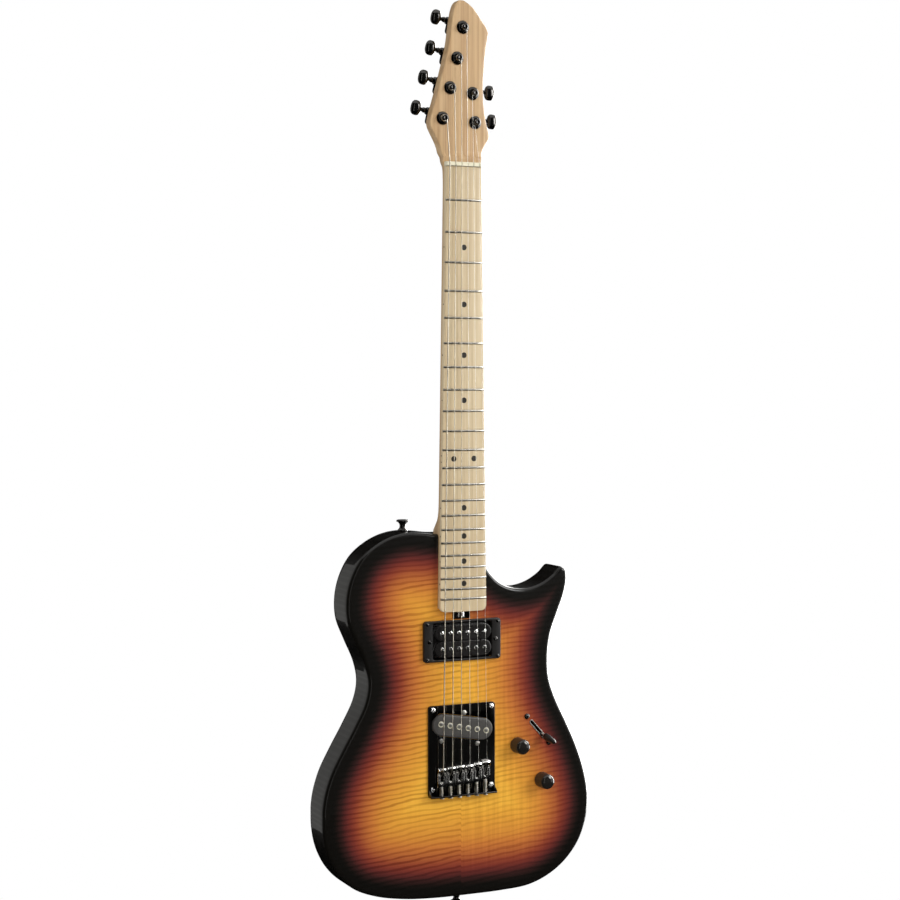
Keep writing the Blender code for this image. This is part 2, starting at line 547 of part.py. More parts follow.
# ---------------------------------------------------------------- pickups
ring_ob = piece("pickup_ring", prism(round_rect(RING_W, RING_L, 3.5, 3, x=0, z=RING_Z), PLATE_BACK - RING_T,
                                     PLATE_BACK), "black_plastic")
ring_front = world(0, PLATE_BACK - RING_T, 0).y
bevel(ring_ob, 0.8, 1, where=lambda p: abs(p.y - ring_front) < 1e-6)
cut(ring_ob, prism(round_rect(70.5, 39.6, 2.5, 3, x=0, z=RING_Z), 0, 20))
face = PLATE_BACK - RING_T
for sx in (-1, 1):
    for dz in (-19.1, 19.1):
        add(ring_ob, lathe([(0, face - 1.0), (1.5, face - 0.7), (2.3, face + 0.3), (0, face + 0.5)],
                           Frame(sx * 42.0, 0, RING_Z + dz), 8))
    add(ring_ob, lathe([(0, face - 1.3), (1.5, face - 1.1), (2.6, face - 0.2), (2.6, face + 0.5), (1.2, face + 0.5),
                        (1.2, 24.0), (0, 24.0)], Frame(sx * 39.4, 0, RING_Z), 8))

pickup = piece("neck_pickup", prism(round_rect(68.0, 37.0, 2.0, 3, x=0, z=RING_Z), 9.0, 17.5), "black_plastic")
for dz in (-8.9, 8.9):
    add(pickup, prism([(x, RING_Z + dz + z) for x, z in stadium(67.0, 17.2)], 2.6, 9.5))
add(pickup, prism(round_rect(85.0, 10.0, 3.0, 3, x=0, z=RING_Z), 15.0, 16.6))
cut(pickup, merged(*[prism(circle(sx * 39.4, RING_Z, 1.6, 8), 0, 30) for sx in (-1, 1)]))

lead = piece("bridge_pickup", prism(stadium(72.4, 23.8), 3.4, 18.0, PICKUP_FRAME), "black_plastic")
add(lead, prism(round_rect(72.0, 36.0, 9.0, 3), 15.5, 17.5, PICKUP_FRAME))

# ---------------------------------------------------------------- controls
for name, (x, z) in KNOBS.items():
    base, tip = BODY_TOP - 0.5, BODY_TOP - 0.5 - KNOB_H
    f = Frame(x, 0, z)
    piece(name + "_knob",
          lathe([(0, tip), (3.6, tip + 0.3), (6.4, tip + 1.3), (8.0, tip + 3.0), (KNOB_R - 0.3, tip + 4.6),
                 (KNOB_R, base), (6.7, base), (6.7, 3.2), (3.0, 3.2), (3.0, 25.0), (0, 25.0)], f, 16),
          "black_metal", origin=world(x, base, z))
    piece(name + "_pot",
          lathe([(3.3, 4.4), (4.8, 4.4), (4.8, 6.2), (6.2, 6.2), (6.2, BODY_TOP - GAP), (4.8, BODY_TOP - GAP),
                 (4.8, 16.6), (12.0, 16.6), (12.0, 27.0), (3.3, 27.0)], f, 14, ring=True), "steel")

lever_axis = SWITCH.v
piv = SWITCH_PIVOT
switch = piece("switch_body", prism(round_rect(46.5, 13.0, 1.5, 1), CORE_TOP + GAP, 36.0, SWITCH), "black_plastic")
for s in (-20.65, 20.65):
    bolt = turned(SWITCH_AT[0] + SWITCH.u.x * s, SWITCH_AT[1] + SWITCH.u.z * s, 0)
    add(switch, lathe([(0, 6.4), (1.6, 6.7), (3.2, 7.8), (3.2, BODY_TOP - GAP), (1.5, BODY_TOP - GAP), (1.5, 20.0),
                       (0, 20.0)], bolt, 8))
SWING = Frame(SWITCH_AT[0], 0, SWITCH_AT[1], SWITCH.u, (0, 1, 0), SWITCH.v)
cut(switch, prism([(-10.5, 8), (10.5, 8), (3.6, piv + 3.4), (-3.6, piv + 3.4)], -0.9, 0.9, SWING))

tilt = math.radians(SWITCH_TILT)
along = Vector(SWITCH.u) * math.sin(tilt) + Vector((0, -1, 0)) * math.cos(tilt)
across = Vector(SWITCH.u) * math.cos(tilt) - Vector((0, -1, 0)) * math.sin(tilt)
LEVER = Frame(SWITCH_AT[0], piv, SWITCH_AT[1], across, SWITCH.v, along)
pivot_at = world(SWITCH_AT[0], piv, SWITCH_AT[1])
BLADE = Frame(SWITCH_AT[0], piv, SWITCH_AT[1], across, along, SWITCH.v)
piece("switch_lever", prism([(-2.2, -1.6), (-1.2, -2.6), (1.2, -2.6), (2.2, -1.6), (2.1, 35.5), (1.3, 37.0),
                             (-1.3, 37.0), (-2.1, 35.5)], -0.5, 0.5, BLADE), "steel", origin=pivot_at)
rings = []
for h, a, b in ((28.6, 3.0, 2.4), (29.4, 4.2, 3.3), (32.5, 4.7, 3.8), (38.0, 4.2, 3.4), (44.0, 3.2, 2.7),
                (45.9, 2.2, 1.8), (46.6, 0.9, 0.8)):
    rings.append([LEVER.at(a * math.cos(math.pi * j / 5), b * math.sin(math.pi * j / 5), h) for j in range(10)])
tip = piece("switch_tip", loft(rings), "black_plastic", origin=pivot_at)
cut(tip, prism([(-2.45, 25), (2.45, 25), (2.45, 37.4), (-2.45, 37.4)], -0.8, 0.8, BLADE))

SIDEWAYS = Frame(0, MID_Y, JACK_Z, (0, 1, 0), (0, 0, 1), (1, 0, 0))
jplate = piece("jack_plate", prism(round_rect(24.0, 36.0, 3.0, 3), JACK_X + GAP, JACK_X + GAP + 1.5, SIDEWAYS),
               "black_metal")
cut(jplate, prism(circle(0, 0, 5.0, 16), 150, 170, SIDEWAYS))
jx = JACK_X + GAP + 1.5
for dz in (-14.5, 14.5):
    add(jplate, lathe([(0, jx + 1.0), (1.4, jx + 0.8), (2.4, jx), (2.4, jx - 0.5), (0, jx - 0.5)],
                      Frame(0, MID_Y, JACK_Z + dz, (0, 1, 0), (0, 0, 1), (1, 0, 0)), 8))
piece("output_jack", lathe([(3.35, 134.0), (9.2, 134.0), (9.2, JACK_X - GAP), (4.6, JACK_X - GAP), (4.6, jx + GAP),
                            (7.0, jx + GAP), (7.0, jx + 2.2), (4.6, jx + 2.2), (4.6, jx + 3.6), (3.35, jx + 3.6)],
                           SIDEWAYS, 16, ring=True), "steel")

# ---------------------------------------------------------------- strap buttons
BUTTON = [(0, 0), (5.6, 0), (5.6, 1.2), (3.6, 3.2), (3.4, 7.4), (5.2, 9.6), (7.0, 10.2), (7.0, 11.4), (5.4, 12.2),
          (0, 12.2)]
piece("strap_button_upper", lathe(BUTTON, Frame(-60.0, MID_Y, -392.5, (1, 0, 0), (0, 1, 0), (0, 0, 1)), 14),
      "black_metal")
piece("strap_button_end", lathe(BUTTON, Frame(4.0, MID_Y, -794.2, (1, 0, 0), (0, 1, 0), (0, 0, -1)), 14),
      "black_metal")
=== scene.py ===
"""Looks of a single-cutaway electric guitar: sunburst over a flamed maple top, black hardware, bolt-on maple neck.

Places are in millimetres in the guitar's own frame: X to the treble side, Y into the body, Z up the neck,
Y = 0 at the fret crowns and Z = 0 at the nut.  HANG is the hanging point, where the row frame has its origin.
"""
import math
import bpy
import bmesh
import numpy as np
from mathutils import Matrix, Vector


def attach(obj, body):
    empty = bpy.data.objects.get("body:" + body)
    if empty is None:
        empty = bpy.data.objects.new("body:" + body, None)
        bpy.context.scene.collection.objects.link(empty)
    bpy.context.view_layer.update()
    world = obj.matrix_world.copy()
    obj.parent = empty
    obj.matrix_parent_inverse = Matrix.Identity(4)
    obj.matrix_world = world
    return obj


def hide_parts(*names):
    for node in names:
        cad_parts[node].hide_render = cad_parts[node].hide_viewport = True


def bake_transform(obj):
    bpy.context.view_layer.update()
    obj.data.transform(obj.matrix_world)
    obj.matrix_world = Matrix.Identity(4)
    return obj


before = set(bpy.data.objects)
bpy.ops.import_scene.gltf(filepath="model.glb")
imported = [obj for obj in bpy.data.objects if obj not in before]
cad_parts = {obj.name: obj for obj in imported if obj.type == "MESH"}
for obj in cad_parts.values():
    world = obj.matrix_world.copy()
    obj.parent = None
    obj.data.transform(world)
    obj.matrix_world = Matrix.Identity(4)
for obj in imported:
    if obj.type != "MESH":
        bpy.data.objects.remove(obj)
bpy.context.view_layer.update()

MM = 0.001
HANG = np.array([0.0, 21.0, 14.0])
TAU = 2 * math.pi

# ---------------------------------------------------------------- camera
YAW, PITCH = math.radians(24.49), math.radians(-2.463)
eye = bpy.data.cameras.new("camera")
eye.lens, eye.sensor_width = 78.016, 36.0
eye.clip_start, eye.clip_end = 0.05, 60.0
camera = bpy.data.objects.new("camera", eye)
camera.location = (-0.8862, -1.9288, -0.2284)
aim = Vector((math.sin(YAW) * math.cos(PITCH), math.cos(YAW) * math.cos(PITCH), math.sin(PITCH)))
camera.rotation_euler = aim.to_track_quat("-Z", "Y").to_euler()
bpy.context.scene.collection.objects.link(camera)
bpy.context.scene.camera = camera

# ---------------------------------------------------------------- shader writing


class Value:
    """A shader socket that takes + - * / and power like a number."""

    def __init__(self, finish, socket):
        self.finish, self.socket = finish, socket

    def _math(self, op, a, b):
        return self.finish.node("ShaderNodeMath", {"operation": op}, {0: a, 1: b})

    def __add__(self, o): return self._math("ADD", self, o)
    def __radd__(self, o): return self._math("ADD", o, self)
    def __sub__(self, o): return self._math("SUBTRACT", self, o)
    def __rsub__(self, o): return self._math("SUBTRACT", o, self)
    def __mul__(self, o): return self._math("MULTIPLY", self, o)
    def __rmul__(self, o): return self._math("MULTIPLY", o, self)
    def __truediv__(self, o): return self._math("DIVIDE", self, o)
    def __pow__(self, o): return self._math("POWER", self, o)


class Finish:
    """A material: constants go straight on the shader, varying values are fed as links."""

    def __init__(self, name, colour=(0.5, 0.5, 0.5), rough=0.4, metal=0.0, coat=0.0, coat_rough=0.03, spec=0.5):
        self.mat = bpy.data.materials.new(name)
        self.mat.use_nodes = True
        self.tree = self.mat.node_tree
        self.shader = self.tree.nodes["Principled BSDF"]
        for socket, value in (("Base Color", (*colour, 1)), ("Roughness", rough), ("Metallic", metal),
                              ("Coat Weight", coat), ("Coat Roughness", coat_rough), ("Specular IOR Level", spec)):
            self.shader.inputs[socket].default_value = value

    def feed(self, socket, value):
        if isinstance(value, Value):
            self.tree.links.new(value.socket, socket)
        elif isinstance(value, tuple) and len(value) == 3 and socket.type == "RGBA":
            socket.default_value = (*value, 1)
        else:
            socket.default_value = value

    def node(self, kind, settings=None, sockets=None, out=0):
        n = self.tree.nodes.new(kind)
        for key, value in (settings or {}).items():
            if key == "stops":
                while len(n.color_ramp.elements) > 1:
                    n.color_ramp.elements.remove(n.color_ramp.elements[-1])
                for at, colour in value:
                    e = n.color_ramp.elements.new(at)
                    e.color = (*colour, 1)
                n.color_ramp.elements.remove(n.color_ramp.elements[0])
            else:
                setattr(n, key, value)
        for key, value in (sockets or {}).items():
            self.feed(n.inputs[key], value)
        return Value(self, n.outputs[out])

    def to(self, **values):
        for key, value in values.items():
            self.feed(self.shader.inputs[key.replace("_", " ")], value)
        return self.mat

    def place(self):
        """Object coordinates in metres."""
        return self.node("ShaderNodeTexCoord", out=3)

    def axes(self):
        split = self.node("ShaderNodeSeparateXYZ", sockets={0: self.place()})
        outs = split.socket.node.outputs
        return [Value(self, outs[i]) for i in range(3)]

    def vector(self, x, y, z):
        return self.node("ShaderNodeCombineXYZ", sockets={0: x, 1: y, 2: z})

    def grain(self, stretch, scale=1.0, detail=3.0, rough=0.55, where=None, shift=(0, 0, 0)):
        """Noise over the place times a stretch per axis, 0 to 1."""
        at = self.node("ShaderNodeMapping", sockets={0: where or self.place(), 1: shift, 3: stretch})
        return self.node("ShaderNodeTexNoise", sockets={"Vector": at, "Scale": scale, "Detail": detail,
                                                        "Roughness": rough})

    def tone(self, factor, stops, smooth="LINEAR"):
        n = self.node("ShaderNodeValToRGB", {"stops": stops}, {0: factor})
        n.socket.node.color_ramp.interpolation = smooth
        return n

    def mix(self, factor, a, b, kind="MIX"):
        n = self.node("ShaderNodeMix", {"data_type": "RGBA", "blend_type": kind}, {0: factor, 6: a, 7: b}, 2)
        return n

    def step(self, value, low, high):
        """0 below low, 1 above high, smooth between."""
        return self.node("ShaderNodeMapRange", {"interpolation_type": "SMOOTHSTEP"},
                         {0: value, 1: low, 2: high, 3: 0.0, 4: 1.0})

    def bump(self, height, strength, depth):
        return self.node("ShaderNodeBump", sockets={"Height": height, "Strength": strength, "Distance": depth})

    def attribute(self, name):
        return self.node("ShaderNodeAttribute", {"attribute_name": name}, out=2)


def shade(r, g, b):
    """Display colour 0-255 to the linear value a shader takes."""
    return tuple((c / 255 / 12.92) if c / 255 <= 0.04045 else ((c / 255 + 0.055) / 1.055) ** 2.4
                 for c in (r, g, b))


def wear(f, fine=900.0, low=0.02, high=0.10):
    """Hairline scuffs and finger haze as a roughness value between low and high."""
    haze = f.grain((1, 1, 1), 60.0, 4.0)
    hair = f.grain((0.25, 1, 2.4), fine, 2.0)
    return low + (high - low) * (haze * 0.6 + hair * 0.4)


# ---------------------------------------------------------------- finishes
def burst_finish():
    """Burst over flame: colour ramp of the distance to the body's edge, times stripes across the grain."""
    f = Finish("sunburst_flame", coat=0.8, coat_rough=0.02, rough=0.35, spec=0.12)
    x, y, z = f.axes()
    edge = f.attribute("edge")
    treble = f.step(x, -0.001, 0.001)
    sway = f.grain((5, 1, 22), 1.0, 3.0, shift=(3.1, 0, 0.4)) - 0.5
    lift = z - x * 0.085
    drift = f.grain((16, 1, 46), 1.0, 2.0, shift=(1.3, 0, 2.2)) - 0.5
    phase = (lift * 172.0 + sway * 0.7 + drift * 1.5 + treble * 0.37) * TAU
    wave = f.node("ShaderNodeMath", {"operation": "SINE"}, {0: phase})
    stripes = f.step(wave + (f.grain((22, 1, 400), 1.0, 2.0, shift=(5.0, 0, 1.0)) - 0.5) * 2.4, -0.9, 0.1)
    broad_at = f.vector(x * 4.0 + treble * 2.3, treble * 5.0, (lift + sway * 0.01) * 60.0)
    broad = f.node("ShaderNodeTexNoise", sockets={"Vector": broad_at, "Scale": 1.0, "Detail": 2.0})
    growth = f.grain((260, 1, 9), 1.0, 3.0, shift=(0.7, 0, 0))
    strength = (f.step(broad, 0.25, 0.7) * 0.8 + 0.25) * (1.0 - treble * 0.35)
    shown = f.step(edge, 10.0, 42.0)
    light = 1.0 + (0.10 - (1.0 - stripes) * 0.36 * strength + (growth - 0.5) * (0.10 + treble * 0.34)) * shown
    far = edge + (f.grain((14, 1, 14), 1.0, 2.0) - 0.5) * 2.0 + (stripes - 0.6) * 2.0 + treble * 2.0
    stops = [(0.0, (15, 13, 10)), (0.12, (15, 13, 10)), (0.15, (24, 17, 14)), (0.21, (50, 26, 24)),
             (0.27, (88, 36, 32)), (0.33, (116, 47, 35)), (0.39, (138, 62, 38)), (0.45, (158, 82, 42)),
             (0.51, (174, 97, 45)), (0.57, (187, 110, 47)), (0.66, (198, 127, 48)), (0.78, (208, 141, 50)),
             (0.92, (216, 153, 52)), (1.0, (222, 162, 56))]
    colour = f.tone(far / 100.0, [(at, shade(*c)) for at, c in stops], "LINEAR")
    grey = f.node("ShaderNodeCombineColor", sockets={0: light, 1: light ** 1.25, 2: light ** 1.5})
    return f.to(Base_Color=f.mix(1.0, colour, grey, "MULTIPLY"),
                Roughness=0.30 + stripes * 0.08, Coat_Weight=0.5 + f.grain((1, 1, 1), 40.0) * 0.2)


def lacquer_finish(name="black_lacquer"):
    """Deep black lacquer with a slight orange peel and polishing haze."""
    f = Finish(name, shade(17, 15, 13), 0.22, coat=0.6, coat_rough=0.02, spec=0.35)
    peel = f.grain((1, 1, 1), 420.0, 2.0)
    return f.to(Base_Color=f.mix(f.grain((1, 1, 1), 25.0), shade(13, 12, 10), shade(20, 18, 15)),
                Roughness=wear(f, low=0.14, high=0.26), Normal=f.bump(peel, 0.03, 0.0004))


def maple_finish(name, pale, mid, dark, line=1.0, fleck=0.5):
    """Straight maple: long grain lines up the neck, short flecks, slow colour drift, satin coat."""
    f = Finish(name, rough=0.38, coat=0.25, coat_rough=0.18, spec=0.35)
    long = f.grain((330, 120, 3.2), 1.0, 4.0, 0.6)
    drift = f.grain((40, 40, 4), 1.0, 2.0)
    ticks = f.grain((900, 300, 55), 1.0, 2.0)
    lines = f.step(long, 0.38, 0.64)
    base = f.mix(drift, shade(*pale), shade(*mid))
    base = f.mix(lines * 0.55 * line, base, shade(*dark))
    base = f.mix(f.step(ticks, 0.62, 0.78) * fleck * 0.45, base, shade(*dark))
    return f.to(Base_Color=base, Roughness=0.32 + long * 0.16,
                Normal=f.bump(long * 0.7 + ticks * 0.3, 0.08, 0.0003))


def metal_finish(name, colour, low, high, metal=1.0, brush=None, coat=0.0):
    """Plated metal with hairlines and haze; brush stretches the hairlines along an axis."""
    f = Finish(name, colour, low, metal, coat=coat, coat_rough=0.03)
    hair = f.grain(brush or (1, 1, 1), 1400.0 if not brush else 1.0, 3.0)
    haze = f.grain((1, 1, 1), 90.0, 4.0)
    dim = tuple(c * 0.78 for c in colour)
    return f.to(Base_Color=f.mix(f.step(haze, 0.35, 0.75), colour, dim),
                Roughness=low + (high - low) * (haze * 0.55 + hair * 0.45),
                Normal=f.bump(hair, 0.025, 0.0002))


def plastic_finish(name, colour, low=0.3, high=0.45, pebble=0.10):
    """Moulded plastic with a fine pebble and worn sheen."""
    f = Finish(name, colour, low, spec=0.45)
    pebbles = f.grain((1, 1, 1), 1900.0, 2.0)
    rub = f.grain((1, 1, 1), 70.0, 3.0)
    return f.to(Base_Color=f.mix(rub, colour, tuple(c * 1.35 + 0.002 for c in colour)),
                Roughness=low + (high - low) * rub, Normal=f.bump(pebbles, pebble, 0.0002))


def wire_finish(name, colour, pitch):
    """String wire: windings as ridges along the piece's own length, or fine drawing lines when plain, with painted
    shade banding the colour in step with them.
    """
    f = Finish(name, colour, 0.3, 1.0)
    run = f.attribute("run")
    turns = f.node("ShaderNodeMath", {"operation": "SINE"}, {0: run * (TAU / pitch)})
    haze = f.grain((1, 1, 1), 300.0, 3.0)
    # The base colour darkens and lightens with each winding: painted shade on top of the real bump
    return f.to(Base_Color=f.mix(turns * 0.16 + 0.18, colour, tuple(c * 0.45 for c in colour)),
                Roughness=0.30 + haze * 0.2, Normal=f.bump(turns, 0.5, 0.00006))


M = {
    "burst": burst_finish(),
    "lacquer": lacquer_finish(),
    "head": maple_finish("headstock_maple", (206, 175, 133), (194, 160, 115), (150, 108, 68), 0.8, 0.6),
    "board": maple_finish("board_maple", (216, 198, 163), (204, 184, 148), (170, 142, 104), 0.7, 0.5),
    "black_chrome": metal_finish("black_chrome", (0.085, 0.082, 0.078), 0.07, 0.18),
    "black_metal": metal_finish("black_satin_metal", (0.028, 0.026, 0.024), 0.22, 0.38),
    "chrome": metal_finish("bright_chrome", (0.80, 0.80, 0.79), 0.05, 0.16),
    "steel": metal_finish("fret_steel", (0.52, 0.50, 0.45), 0.2, 0.36, brush=(60, 400, 2000)),
    "zinc": metal_finish("zinc_steel", (0.60, 0.58, 0.54), 0.24, 0.42),
    "saddle": metal_finish("saddle_steel", (0.74, 0.73, 0.70), 0.08, 0.22),
    "plastic": plastic_finish("black_plastic", shade(22, 20, 18)),
    "grey_plastic": plastic_finish("pickup_cover", shade(62, 60, 57), 0.34, 0.5, 0.14),
    "bobbin": plastic_finish("bobbin_plastic", shade(20, 18, 17), 0.2, 0.36, 0.05),
    "ink": plastic_finish("dark_inlay", shade(38, 34, 28), 0.3, 0.42, 0.05),
    "bone": plastic_finish("nut_bone", shade(212, 206, 180), 0.26, 0.42, 0.04),
    "knob": plastic_finish("knob_side", shade(34, 30, 26), 0.34, 0.5, 0.12),
    "knob_top": metal_finish("knob_dome", (0.036, 0.032, 0.027), 0.08, 0.16, 0.6, coat=0.5),
    "spring": metal_finish("saddle_spring", (0.62, 0.56, 0.44), 0.22, 0.38),
    # Near-black painted shade for the walls of the cuts in the body and for the strap buttons' hollows
    "hole": plastic_finish("recess_painted_shade", shade(8, 7, 6), 0.7, 0.85, 0.02),
}

# ---------------------------------------------------------------- shape writing


def seat(o, u=(1, 0, 0), v=(0, 0, 1), n=(0, 1, 0)):
    """A place to build in: (a, b, c) goes to o + a u + b v + c n."""
    o = np.array(o, float)
    u, v, n = (np.array(d, float) / np.linalg.norm(d) for d in (u, v, n))
    return lambda a, b, c: (o + np.asarray(a, float)[..., None] * u + np.asarray(b, float)[..., None] * v
                            + np.asarray(c, float)[..., None] * n)


def turned(x, z, degrees):
    c, s = math.cos(math.radians(degrees)), math.sin(math.radians(degrees))
    return seat((x, 0, z), (c, 0, s), (-s, 0, c), (0, 1, 0))


FRONT = seat((0, 0, 0))


def skin(grid, mat, loop_u=False, loop_v=True):
    """One grid of points with its material; loops join the last row or column to the first."""
    return np.asarray(grid, float), M[mat], loop_u, loop_v


def quads(nu, nv, loop_u, loop_v):
    a, b = np.meshgrid(np.arange(nu - (not loop_u)), np.arange(nv - (not loop_v)), indexing="ij")
    a2, b2 = (a + 1) % nu, (b + 1) % nv
    return np.stack([a * nv + b, a2 * nv + b, a2 * nv + b2, a * nv + b2], -1).reshape(-1, 4)


def build(name, skins, body=None, stands_for=(), sharp=40, run=None):
    """Grids joined in one mesh: doubles merged, faces turned outwards, sharp edges kept over an angle."""
    verts, faces, which, mats, count = [], [], [], [], 0
    for grid, mat, lu, lv in skins:
        if mat not in mats:
            mats.append(mat)
        q = quads(grid.shape[0], grid.shape[1], lu, lv) + count
        verts.append(grid.reshape(-1, 3))
        faces.append(q)
        which.append(np.full(len(q), mats.index(mat)))
        count += grid.shape[0] * grid.shape[1]
    co = (np.concatenate(verts) - HANG) * MM
    mesh = bpy.data.meshes.new(name)
    mesh.from_pydata(co, [], np.concatenate(faces))
    for m in mats:
        mesh.materials.append(m)
    mesh.polygons.foreach_set("material_index", np.concatenate(which).astype(np.int32))
    if run is not None:
        mesh.attributes.new("run", "FLOAT", "POINT").data.foreach_set("value", np.asarray(run, np.float32).ravel())
    bm = bmesh.new()
    bm.from_mesh(mesh)
    bmesh.ops.remove_doubles(bm, verts=bm.verts[:], dist=2e-6)
    bmesh.ops.recalc_face_normals(bm, faces=bm.faces[:])
    bm.to_mesh(mesh)
    bm.free()
    mesh.shade_smooth()
    mesh.set_sharp_from_angle(angle=math.radians(sharp))
    ob = bpy.data.objects.new(name, mesh)
    bpy.context.scene.collection.objects.link(ob)
    if body:
        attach(ob, body)
    if stands_for:
        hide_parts(*stands_for)
    return ob


def soften(profile, r=0.25, steps=3):
    """A profile with each inner corner replaced by a small curve between points r away on both sides."""
    p = np.array(profile, float)
    out = [p[0]]
    for a, b, c in zip(p, p[1:], p[2:]):
        la, lc = np.linalg.norm(a - b), np.linalg.norm(c - b)
        if min(la, lc) < 1e-6:
            out.append(b)
            continue
        s = b + (a - b) / la * min(r, la * 0.45)
        e = b + (c - b) / lc * min(r, lc * 0.45)
        t = np.linspace(0, 1, steps)[:, None]
        out.extend((1 - t) ** 2 * s + 2 * t * (1 - t) * b + t * t * e)
    out.append(p[-1])
    return np.array(out)


def lathe(profile, at, mat, segs=32, r=0.25, ring=False):
    """Profile of (radius, depth) turned about the seat's n: a = r cos t, b = r sin t, c = depth."""
    p = np.array(profile, float) if r == 0 else soften(profile, r)
    t = np.arange(segs) * TAU / segs
    return skin(at(p[:, :1] * np.cos(t), p[:, :1] * np.sin(t), p[:, 1:] + 0 * t), mat, ring)


def rounded(w, h, r, k=6, x=0.0, z=0.0):
    """Rounded rectangle: points and outward normals, k + 1 to a corner."""
    t = np.linspace(0, math.pi / 2, k + 1)
    pts, nrm = [], []
    for q, (cx, cz) in enumerate(((1, 1), (-1, 1), (-1, -1), (1, -1))):
        d = np.stack([np.cos(t + q * math.pi / 2), np.sin(t + q * math.pi / 2)], -1)
        pts.append(np.array([x + cx * (w / 2 - r), z + cz * (h / 2 - r)]) + r * d)
        nrm.append(d)
    return np.concatenate(pts), np.concatenate(nrm)


def outline_normals(p):
    """Outward normals of a closed outline, from the direction between each point's neighbours."""
    d = np.roll(p, -1, 0) - np.roll(p, 1, 0)
    n = np.stack([d[:, 1], -d[:, 0]], -1) / np.linalg.norm(d, axis=1)[:, None]
    area = np.sum(p[:, 0] * np.roll(p[:, 1], -1) - np.roll(p[:, 0], -1) * p[:, 1])
    return n * np.sign(area)


def slab(shape, profile, at, mat, close=(True, True)):
    """Outline carried along a profile of (inset, depth); each open end runs in to the middle when closed."""
    pts, nrm = shape
    rows = [at((pts - nrm * i)[:, 0], (pts - nrm * i)[:, 1], np.full(len(pts), float(d))) for i, d in profile]
    for end, first in zip(close, (True, False)):
        if end:
            row = rows[0] if first else rows[-1]
            mid = np.repeat(row.mean(0)[None], len(row), 0)
            for share in (0.5, 0.0):
                inner = mid + (row - mid) * share
                rows = [inner] + rows if first else rows + [inner]
    return skin(np.array(rows), mat)


def hoop(outer, inner, top, bottom, at, mat, r=0.5, mat_in=None):
    """Plate with a hole: up the outside, over a rounded rim, down the inside; both outlines have equal counts."""
    (po, no), (pi, ni) = outer, inner
    t = np.linspace(0, math.pi / 2, 4)
    prof_o = [(0.0, bottom)] + [(r - r * math.cos(a), top + r - r * math.sin(a)) for a in t]
    prof_i = [(-(r - r * math.cos(a)), top + r - r * math.sin(a)) for a in t[::-1]] + [(0.0, bottom)]
    rows = [at((po - no * i)[:, 0], (po - no * i)[:, 1], np.full(len(po), d)) for i, d in prof_o]
    rows += [at((pi - ni * i)[:, 0], (pi - ni * i)[:, 1], np.full(len(pi), d)) for i, d in prof_i]
    return skin(np.array(rows), mat, loop_u=True)


def tube(path, radius, mat, segs=10, closed_ends=True):
    """Round wire along a path: circles across the path's direction, turned with the least twist."""
    p = np.array(path, float)
    radius = np.broadcast_to(np.asarray(radius, float), (len(p),))
    d = np.gradient(p, axis=0)
    d /= np.linalg.norm(d, axis=1)[:, None]
    side = np.cross(d[0], (0.13, 0.97, 0.2))
    sides = []
    for k in range(len(p)):
        side = side - d[k] * (side @ d[k])
        side /= np.linalg.norm(side)
        sides.append(side)
    s = np.array(sides)
    b = np.cross(d, s)
    t = np.arange(segs) * TAU / segs
    grid = (p[:, None] + radius[:, None, None] * (s[:, None] * np.cos(t)[:, None] + b[:, None] * np.sin(t)[:, None]))
    if closed_ends:
        grid = np.concatenate([np.repeat(p[:1, None], segs, 1), grid, np.repeat(p[-1:, None], segs, 1)])
    return skin(grid, mat)


def curve(points, steps=6, closed=True):
    """Centripetal curve through points of any width, with the same number of steps between each two."""
    p = np.array(points, float)
    n = len(p)
    idx = np.arange(n if closed else n - 1)
    if closed:
        q = [p[(idx + j - 1) % n] for j in range(4)]
    else:
        ext = np.concatenate([[2 * p[0] - p[1]], p, [2 * p[-1] - p[-2]]])
        q = [ext[idx + j] for j in range(4)]
    t = [np.zeros((len(idx), 1))]
    for a, b in zip(q, q[1:]):
        t.append(t[-1] + np.maximum(np.linalg.norm(b - a, axis=1, keepdims=True), 1e-6) ** 0.5)
    u = t[1][:, None] + (t[2] - t[1])[:, None] * (np.arange(steps) / steps)[None, :, None]
    T = [x[:, None] for x in t]
    Q = [x[:, None] for x in q]
    a = [(Q[j] * (T[j + 1] - u) + Q[j + 1] * (u - T[j])) / (T[j + 1] - T[j]) for j in range(3)]
    b = [(a[j] * (T[j + 2] - u) + a[j + 1] * (u - T[j])) / (T[j + 2] - T[j]) for j in range(2)]
    c = (b[0] * (T[2] - u) + b[1] * (u - T[1])) / (T[2] - T[1])
    out = c.reshape(-1, p.shape[1])
    return out if closed else np.concatenate([out, p[-1:]])


def cross_screw(at, head, radius, dome, mat="chrome", segs=40, slot_w=0.16, deep=0.7, straight=False, turn=0.4):
    """Screw head: a dome falling towards the rim, sunk by a cross (or a single slot) as a depth over a polar grid."""
    r = np.concatenate([np.linspace(0, 0.9, 9), [0.96, 1.0]])[:, None] * radius
    t = np.arange(segs)[None] * TAU / segs
    x, y = r * np.cos(t - turn), r * np.sin(t - turn)
    h = head - dome * (1 - (r / radius) ** 2) + 0 * t
    w = slot_w * radius
    arm = (lambda p, q, reach: np.clip((w * 1.6 - abs(q)) / (w * 0.8), 0, 1) * (abs(p) < reach * radius))
    sink = arm(x, y, 2.0) if straight else np.maximum(arm(x, y, 0.62), arm(y, x, 0.62))
    top = at(r * np.cos(t), r * np.sin(t), h + deep * sink)
    base = at(radius * np.cos(t), radius * np.sin(t), np.full_like(t, head + 0.9 * dome + 0.5))
    return skin(np.concatenate([top, base]), mat)

